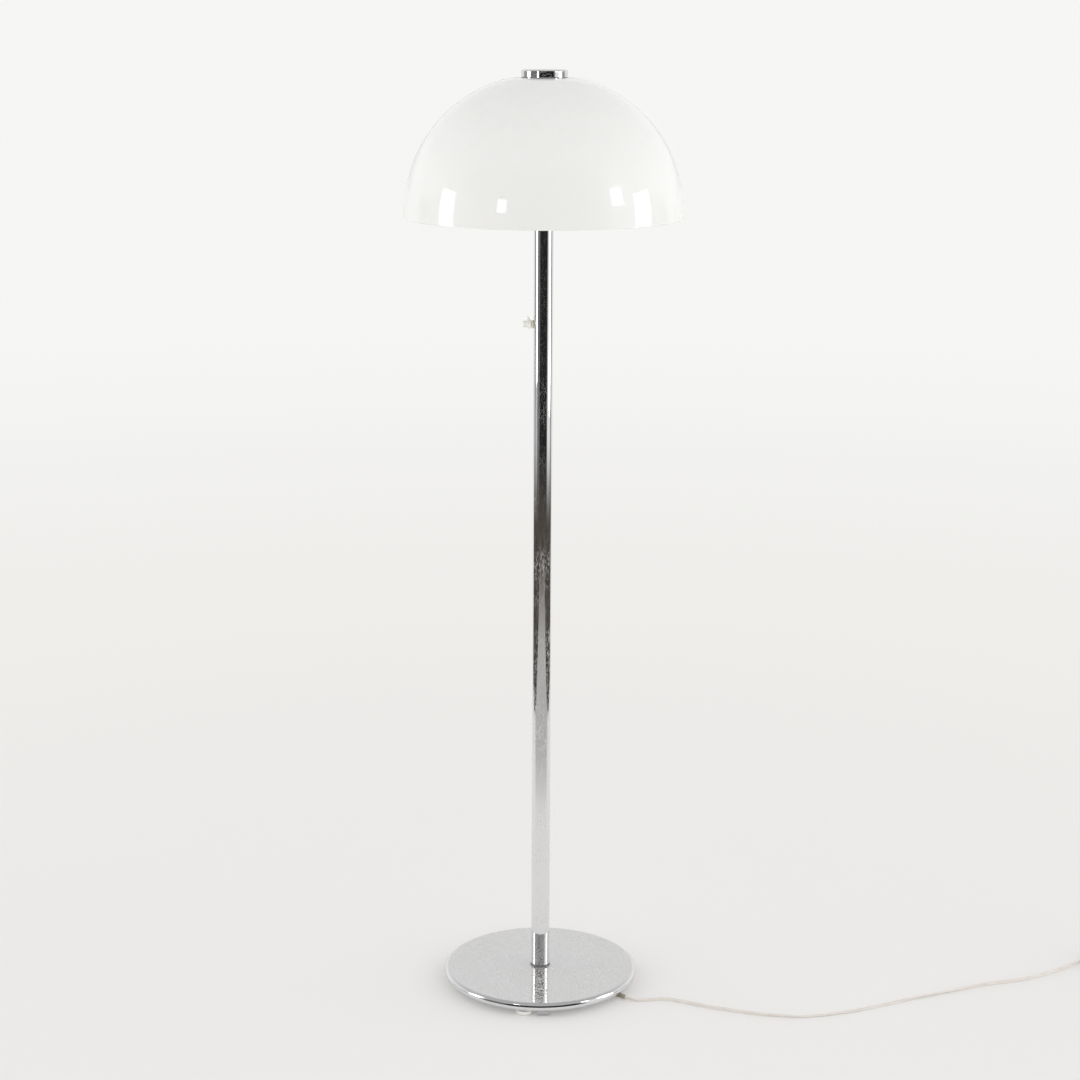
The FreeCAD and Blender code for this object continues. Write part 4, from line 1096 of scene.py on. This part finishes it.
class LAMP_OT_stem(bpy.types.Operator):
    """Models the chromed tube and the ring at its foot"""
    bl_idname = "lamp.stem"
    bl_label = "Stem"

    def execute(self, context):
        sizes = context.scene.lamp_sizes
        bottom, top = low("stem_tube"), high("stem_tube")
        radius, inner = sizes.stem_radius, sizes.stem_radius - sizes.stem_wall
        outline = [(inner, bottom), (radius - 0.3 * MM, bottom), (radius, bottom + 0.3 * MM)]
        outline += steps_to(outline[-1], (radius, top - 0.5 * MM), 12)
        outline += [(radius - 0.5 * MM, top), (inner, top)]
        outline += steps_to(outline[-1], (inner, bottom), 2)
        tube = turned("stem_tube_skin", outline, RING_SIDES)
        dressed(tube, "chrome", "stem_tube", look="stem_chrome")

        foot, height = low("stem_gasket"), high("stem_gasket")
        outer, bore = high("stem_gasket", 0), 12.6 * MM
        outline = [(bore, foot), (outer - 0.2 * MM, foot), (outer, foot + 0.2 * MM),
                   (outer, foot + 0.6 * MM), (outer - 0.15 * MM, foot + 0.8 * MM),
                   (radius + 0.35 * MM, height - 0.7 * MM), (radius + 0.15 * MM, height),
                   (bore, height), (bore, foot)]
        ring = turned("foot_ring", outline, RING_SIDES)
        dressed(ring, "black_rubber", "stem_gasket")
        return {"FINISHED"}


class LAMP_OT_switch(bpy.types.Operator):
    """Models the rotary switch's ring nut and winged knob"""
    bl_idname = "lamp.switch"
    bl_label = "Switch"

    def execute(self, context):
        sizes = context.scene.lamp_sizes
        height = (low("switch_nut") + high("switch_nut")) / 2
        outward = facing(Vector((0, 0, height)), Vector((-1, 0, 0)))
        stem = sizes.stem_radius
        outline = [(5.05 * MM, stem), (5.9 * MM, stem), (5.9 * MM, stem + 2.4 * MM),
                   (5.4 * MM, stem + 2.9 * MM), (5.05 * MM, stem + 2.9 * MM), (5.05 * MM, stem)]
        nut = turned("switch_ring", outline, NUT_SIDES)
        soften(nut, 0.15 * MM, 2)
        moved(nut, outward)
        dressed(nut, "brass", "switch_nut")
        self.knob(height)
        return {"FINISHED"}

    def knob(self, height):
        """A stepped knob: a disc with a wing, and a ribbed grip in front of it."""
        outline = mm((3.05, 27), (3.05, 17.6), (5.9, 17.6), (6.2, 17.9))
        outline += steps_to(outline[-1], (5.8 * MM, 22.9 * MM), 3)
        outline += arc((5.3 * MM, 22.9 * MM), 0.5 * MM, 10, 90, 4)
        outline += mm((4.9, 23.4), (4.75, 23.55))
        outline += steps_to(outline[-1], (4.75 * MM, 28.4 * MM), 4)
        outline += arc((3.75 * MM, 28.4 * MM), 1 * MM, 15, 90, 5)
        outline += mm((2.2, 29.4), (2.0, 29.2), (0, 29.2))
        body = turned("switch_knob_skin", outline, RING_SIDES)
        self.ribbed(body)
        wing = block("wing", (6.5 * MM, 4 * MM, 5.0 * MM), (8.2 * MM, 0, 20.9 * MM))
        pick(wing, "VERT", lambda spot: spot.x > 11 * MM and spot.z < 20 * MM)
        bpy.ops.transform.translate(value=(-0.8 * MM, 0, 2.6 * MM))
        mode("OBJECT")
        soften(wing, 0.55 * MM, 4)
        combined(body, "UNION", wing)
        smoothed(body)
        outward = (Matrix.Translation((0, 0, height))
                   @ Matrix.Rotation(math.radians(-90), 4, "Y"))
        moved(body, outward)
        dressed(body, "knob_plastic", "switch_knob", body="switch_knob")

    def ribbed(self, body):
        """Draws every fourth upright row of the grip in, which leaves ribs."""
        rows = RING_SIDES // 4

        def in_groove(middle):
            turn = (math.atan2(middle.y, middle.x) / math.tau) % 1 * rows
            on_grip = math.hypot(middle.x, middle.y) > 4.4 * MM
            return on_grip and 23.9 * MM < middle.z < 28.2 * MM and abs(turn - round(turn)) < 0.13
        pick(body, "VERT", in_groove)
        bpy.ops.transform.resize(value=(0.94, 0.94, 1), center_override=(0, 0, 0))
        mode("OBJECT")


# ---------------------------------------------------------------- lampholders and bulbs

HOLDER_ANGLES = (90, 210, 330)
HOLDER_TILT = 15
HOLDER_HEIGHT = 1.208


def along_holder(degrees):
    """The place of a lampholder: its own +Z out along its axis."""
    tilt = math.radians(HOLDER_TILT)
    direction = polar(math.cos(tilt), degrees, math.sin(tilt))
    return facing(Vector((0, 0, HOLDER_HEIGHT)), direction)


class LAMP_OT_holders(bpy.types.Operator):
    """Models the three bakelite lampholders"""
    bl_idname = "lamp.holders"
    bl_label = "Lampholders"

    def execute(self, context):
        sides = context.scene.lamp_sizes.small_sides
        outline = mm((5.1, 32), (10.4, 32), (11.0, 32.4), (13.0, 33.2), (15.6, 35.0), (17.9, 37.6),
                     (19.4, 40.2), (19.95, 42.4), (19.95, 47), (19.4, 47.4), (19.4, 48),
                     (19.95, 48.4))
        outline += steps_to(outline[-1], (19.95 * MM, 80.5 * MM), 4)
        outline += arc((18.5 * MM, 80.5 * MM), 1.45 * MM, 15, 90, 5)
        outline += mm((17.0, 82), (16.3, 81.4), (16.25, 72), (16.25, 40.1), (5.1, 40.1), (5.1, 32))
        for number, degrees in enumerate(HOLDER_ANGLES, start=1):
            shell = turned("holder_%d_skin" % number, outline, sides)
            moved(shell, along_holder(degrees))
            dressed(shell, "bakelite", "holder_%d_shell" % number)
        return {"FINISHED"}


class LAMP_OT_bulbs(bpy.types.Operator):
    """Models the three bulbs, frosted glass on a threaded cap"""
    bl_idname = "lamp.bulbs"
    bl_label = "Bulbs"

    def execute(self, context):
        sizes = context.scene.lamp_sizes
        for number, degrees in enumerate(HOLDER_ANGLES, start=1):
            body = "bulb_%d" % number
            glass = turned(body + "_globe", self.glass_outline(sizes), BULB_SIDES)
            moved(glass, along_holder(degrees))
            dressed(glass, "bulb_glass", body + "_glass", body=body)
            cap = turned(body + "_thread", self.cap_outline(), sizes.small_sides, disc=True)
            moved(cap, along_holder(degrees))
            dressed(cap, "bulb_cap", body + "_cap", body=body)
        return {"FINISHED"}

    def glass_outline(self, sizes):
        """Neck, flare and round end outside, then the same a wall's width in."""
        start, centre, flare, wall = 74.4 * MM, 125.3 * MM, 40 * MM, 1 * MM
        radius, neck = sizes.bulb_radius, sizes.bulb_neck
        reach = math.sqrt((radius + flare) ** 2 - (neck + flare) ** 2)
        meet = math.degrees(math.atan2(reach, neck + flare))
        outer = [(neck, start)] + arc((neck + flare, centre - reach), flare, 180, 180 - meet, 8)
        outer += arc((0, centre), radius, -meet, 88, 26)
        inner = arc((0, centre), radius - wall, 88, -meet, 20)
        inner += arc((neck + flare, centre - reach), flare + wall, 180 - meet, 180, 6)
        ends = [(radius * 0.01, centre + radius), ((radius - wall) * 0.01, centre + radius - wall)]
        return outer + ends + inner + [(neck - wall, start), (neck, start)]

    def cap_outline(self):
        """A rolled thread between the contact and the glass."""
        thread = [(12.8 - math.cos(step / 8 * math.tau) * 0.35, 56.4 + step * 3.6 / 8)
                  for step in range(4 * 8 + 1)]
        return mm((4, 50.35), (4.2, 51.6), (5.0, 52.3), (9.0, 52.4), (12.4, 55.6), *thread,
                  (12.9, 71.6), (13.15, 72.4), (13.15, 74.3), (0, 74.3))


# ---------------------------------------------------------------- cluster and shade fittings

NUT_HEIGHT, NUT_FLATS, NUT_BORE = 6 * MM, 14 * MM, 4.9 * MM


def hex_nut(name, start):
    """A six-sided nut with chamfered corners, from a six-sided block and a turned one."""
    choose()
    corner = NUT_FLATS / 2 / math.cos(math.radians(30))
    bpy.ops.mesh.primitive_cylinder_add(vertices=6, radius=corner, depth=NUT_HEIGHT,
                                        location=(0, 0, start + NUT_HEIGHT / 2))
    nut = context_object(name)
    bpy.ops.object.transform_apply()
    outline = ring_outline(NUT_BORE, corner + 0.1 * MM, start, start + NUT_HEIGHT,
                           corner - NUT_FLATS / 2 + 0.3 * MM, 1.2 * MM)
    combined(nut, "INTERSECT", turned(name + "_turned", outline, 48))
    return smoothed(nut, 25)


class LAMP_OT_cluster(bpy.types.Operator):
    """Models the enamelled cup, its lid and screws"""
    bl_idname = "lamp.cluster"
    bl_label = "Lampholder cluster"

    def execute(self, context):
        bottom, top = low("cluster_cup"), high("cluster_cup")
        outer, wall = 24 * MM, 1.2 * MM
        outline = [(5.1 * MM, bottom), (outer - 2 * MM, bottom)]
        outline += arc((outer - 2 * MM, bottom + 2 * MM), 2 * MM, -75, 0, 5)
        outline += steps_to(outline[-1], (outer, top), 5)
        cup = turned("cluster_cup_skin", outline, NUT_SIDES)
        walled(cup, wall)
        dressed(cup, "painted_cup", "cluster_cup")

        rim, crown = low("cluster_lid"), high("cluster_lid")
        outer = 25.2 * MM
        outline = [(outer - 1.0 * MM, rim), (outer - 0.1 * MM, rim), (outer, rim + 0.3 * MM)]
        outline += [(outer, crown - 1.6 * MM)]
        outline += arc((outer - 1.6 * MM, crown - 1.6 * MM), 1.6 * MM, 15, 90, 5)
        outline += [(5.1 * MM, crown), (5.1 * MM, crown - wall), (outer - 2.4 * MM, crown - wall),
                    (outer - 1.2 * MM, crown - 2 * wall), (outer - 1.2 * MM, rim + 0.3 * MM),
                    (outer - 1.0 * MM, rim)]
        lid = turned("cluster_lid_skin", outline, NUT_SIDES)
        dressed(lid, "painted_cup", "cluster_lid")
        self.lid_screws(outer, (rim + top) / 2)
        return {"FINISHED"}

    def lid_screws(self, radius, height):
        """Slotted screws in the lid's skirt."""
        outline = mm((1.4, -4), (1.4, 0), (2.5, 0), (2.5, 0.7), (2.2, 1.2), (1.3, 1.5), (0, 1.54))
        screw = turned("lid_screw_heads", outline, TURNED_SIDES, disc=True)
        slot = block("slot", (6 * MM, 0.6 * MM, 1.4 * MM), (0, 0, 1.55 * MM))
        combined(screw, "DIFFERENCE", slot)
        places = [facing(polar(radius, degrees, height), polar(1, degrees))
                  for degrees in (30, 150, 270)]
        repeated(screw, places)
        dressed(screw, "bright_steel", "lid_screws")


class LAMP_OT_fittings(bpy.types.Operator):
    """Models the threaded rod, nuts, seat and pad that carry the shade"""
    bl_idname = "lamp.fittings"
    bl_label = "Shade fittings"

    def execute(self, context):
        bottom, top = low("centre_rod"), high("centre_rod")
        pitch = 1.5 * MM
        turns = int((top - bottom - 1 * MM) / pitch)
        outline = [(4.2 * MM, bottom)]
        for turn in range(turns):
            start = bottom + 0.4 * MM + turn * pitch
            outline += [(4.25 * MM, start), (4.95 * MM, start + pitch * 0.42),
                        (4.95 * MM, start + pitch * 0.58)]
        outline += [(4.2 * MM, top - 0.2 * MM), (0, top)]
        rod = turned("threaded_rod", outline, 24, disc=True)
        dressed(rod, "bright_steel", "centre_rod")

        lower = hex_nut("rod_nut_pair", low("rod_nuts"))
        upper = hex_nut("upper_nut", high("rod_nuts") - NUT_HEIGHT)
        joined(lower, upper)
        dressed(lower, "bright_steel", "rod_nuts")
        nut = hex_nut("shade_nut", low("seat_nut"))
        dressed(nut, "bright_steel", "seat_nut")

        for node, name, slot in (("shade_seat", "seat_disc", "bright_steel"),
                                 ("seat_pad", "seat_felt", "black_rubber")):
            floor, roof, outer = low(node), high(node), high(node, 0)
            edge = min(0.4 * MM, (roof - floor) / 3)
            outline = ring_outline(4.95 * MM, outer, floor, roof, edge, edge)
            disc = turned(name, outline, RING_SIDES)
            dressed(disc, slot, node)
        return {"FINISHED"}


# ---------------------------------------------------------------- shade and cap

class LAMP_OT_shade(bpy.types.Operator):
    """Models the domed opal shade"""
    bl_idname = "lamp.shade"
    bl_label = "Shade"

    def execute(self, context):
        sizes = context.scene.lamp_sizes
        rim, crown = low("shade"), high("shade")
        dome_centre = (sizes.shade_radius - sizes.dome_radius, rim + sizes.shade_skirt)
        angle = self.easing_angle(sizes, crown - rim)
        outline = [(sizes.shade_radius, rim), (sizes.shade_radius, rim + 2.5 * MM)]
        outline += arc(dome_centre, sizes.dome_radius, 0, angle, 44)
        meet = outline[-1]
        ease = (meet[0] - sizes.crown_flat) / math.cos(math.radians(angle))
        outline += arc((sizes.crown_flat, crown - ease), ease, angle, 90, 12)[1:]
        outline += steps_to((sizes.crown_flat, crown), (5.3 * MM, crown), 4)
        shade = turned("opal_shade_dome", outline, sizes.sides)
        modify(shade, "SOLIDIFY", thickness=sizes.shade_wall, offset=-1, use_even_offset=True)
        soften(shade, 1.0 * MM, 4, angle=60)
        dressed(shade, "opal_shade", "shade", body="shade")
        return {"FINISHED"}

    def easing_angle(self, sizes, height):
        """The angle up the dome at which a smaller arc meets the crown's flat at its height."""
        low_angle, high_angle = 45.0, 89.0
        for _ in range(40):
            angle = (low_angle + high_angle) / 2
            turn = math.radians(angle)
            across = sizes.shade_radius - sizes.dome_radius * (1 - math.cos(turn))
            ease = (across - sizes.crown_flat) / math.cos(turn)
            reached = (sizes.shade_skirt + sizes.dome_radius * math.sin(turn)
                       + ease * (1 - math.sin(turn)))
            if reached > height:
                high_angle = angle
            else:
                low_angle = angle
        return angle


class LAMP_OT_cap(bpy.types.Operator):
    """Models the chromed cap and its washer"""
    bl_idname = "lamp.cap"
    bl_label = "Cap"

    def execute(self, context):
        sizes = context.scene.lamp_sizes
        bottom, top, outer = low("cap"), high("cap"), sizes.cap_radius
        outline = [(30.6 * MM, bottom), (outer - 0.3 * MM, bottom), (outer, bottom + 0.3 * MM)]
        outline += [(outer, bottom + 2.5 * MM)]
        outline += arc((outer - 1.6 * MM, top - 1.6 * MM), 1.6 * MM, 0, 90, 8)
        outline += steps_to(outline[-1], (4 * MM, top), 5) + [(0, top)]
        skin = turned("cap_skin", outline, CAP_SIDES)
        outline = [(30.6 * MM, bottom), (30.6 * MM, top - 2.5 * MM), (9 * MM, top - 2.5 * MM),
                   (9 * MM, bottom), (5.1 * MM, bottom), (5.1 * MM, top - 3.3 * MM),
                   (0, top - 3.3 * MM)]
        inside = turned("cap_inside", outline, CAP_SIDES)
        joined(skin, inside)
        mode("EDIT")
        closed(skin, 0.01 * MM)
        dressed(skin, "chrome", "cap", body="cap", look="cap_chrome")

        outline = ring_outline(5.3 * MM, high("cap_washer", 0), low("cap_washer"),
                               high("cap_washer"), 0.2 * MM, 0.25 * MM)
        washer = turned("cap_felt", outline, RING_SIDES)
        dressed(washer, "black_rubber", "cap_washer", body="cap_washer")
        return {"FINISHED"}


# ---------------------------------------------------------------- pieces inside

class LAMP_OT_inner_pieces(bpy.types.Operator):
    """Gives every piece that stays as built its finish"""
    bl_idname = "lamp.inner_pieces"
    bl_label = "Inner pieces"

    def execute(self, context):
        for node, piece in frame["nodes"].items():
            slot = NODE_SLOTS[node]
            painted(piece, "stem_chrome" if slot == "chrome" else slot)
        return {"FINISHED"}


# ---------------------------------------------------------------- panel and registration

OPERATORS = (LAMP_OT_camera, LAMP_OT_stage, LAMP_OT_lead, LAMP_OT_base, LAMP_OT_stem,
             LAMP_OT_switch, LAMP_OT_cluster, LAMP_OT_holders, LAMP_OT_bulbs,
             LAMP_OT_fittings, LAMP_OT_shade, LAMP_OT_cap, LAMP_OT_inner_pieces)


class LAMP_PT_pieces(bpy.types.Panel):
    """Lists the lamp's sizes, colours and pieces"""
    bl_label = "Mushroom floor lamp"
    bl_idname = "LAMP_PT_pieces"
    bl_space_type = "VIEW_3D"
    bl_region_type = "UI"
    bl_category = "Lamp"

    def draw(self, context):
        for title, group in (("Sizes", context.scene.lamp_sizes),
                             ("Colours", context.scene.lamp_colours)):
            section = self.layout.box()
            section.label(text=title)
            for key in group.__annotations__:
                section.prop(group, key)
        for operator in OPERATORS:
            self.layout.operator(operator.bl_idname)


CLASSES = (LampSizes, LampColours) + OPERATORS + (LAMP_PT_pieces,)


def register():
    for item in CLASSES:
        bpy.utils.register_class(item)
    bpy.types.Scene.lamp_sizes = PointerProperty(type=LampSizes)
    bpy.types.Scene.lamp_colours = PointerProperty(type=LampColours)


def unregister():
    del bpy.types.Scene.lamp_sizes
    del bpy.types.Scene.lamp_colours
    for item in reversed(CLASSES):
        bpy.utils.unregister_class(item)


def main():
    register()
    bpy.context.scene.view_settings.view_transform = "Standard"
    bpy.ops.lamp.camera()
    bpy.ops.lamp.stage()
    bpy.ops.lamp.lead()
    bpy.ops.lamp.base()
    bpy.ops.lamp.stem()
    bpy.ops.lamp.switch()
    bpy.ops.lamp.cluster()
    bpy.ops.lamp.holders()
    bpy.ops.lamp.bulbs()
    bpy.ops.lamp.fittings()
    bpy.ops.lamp.shade()
    bpy.ops.lamp.cap()
    bpy.ops.lamp.inner_pieces()


if __name__ == "__main__":
    main()
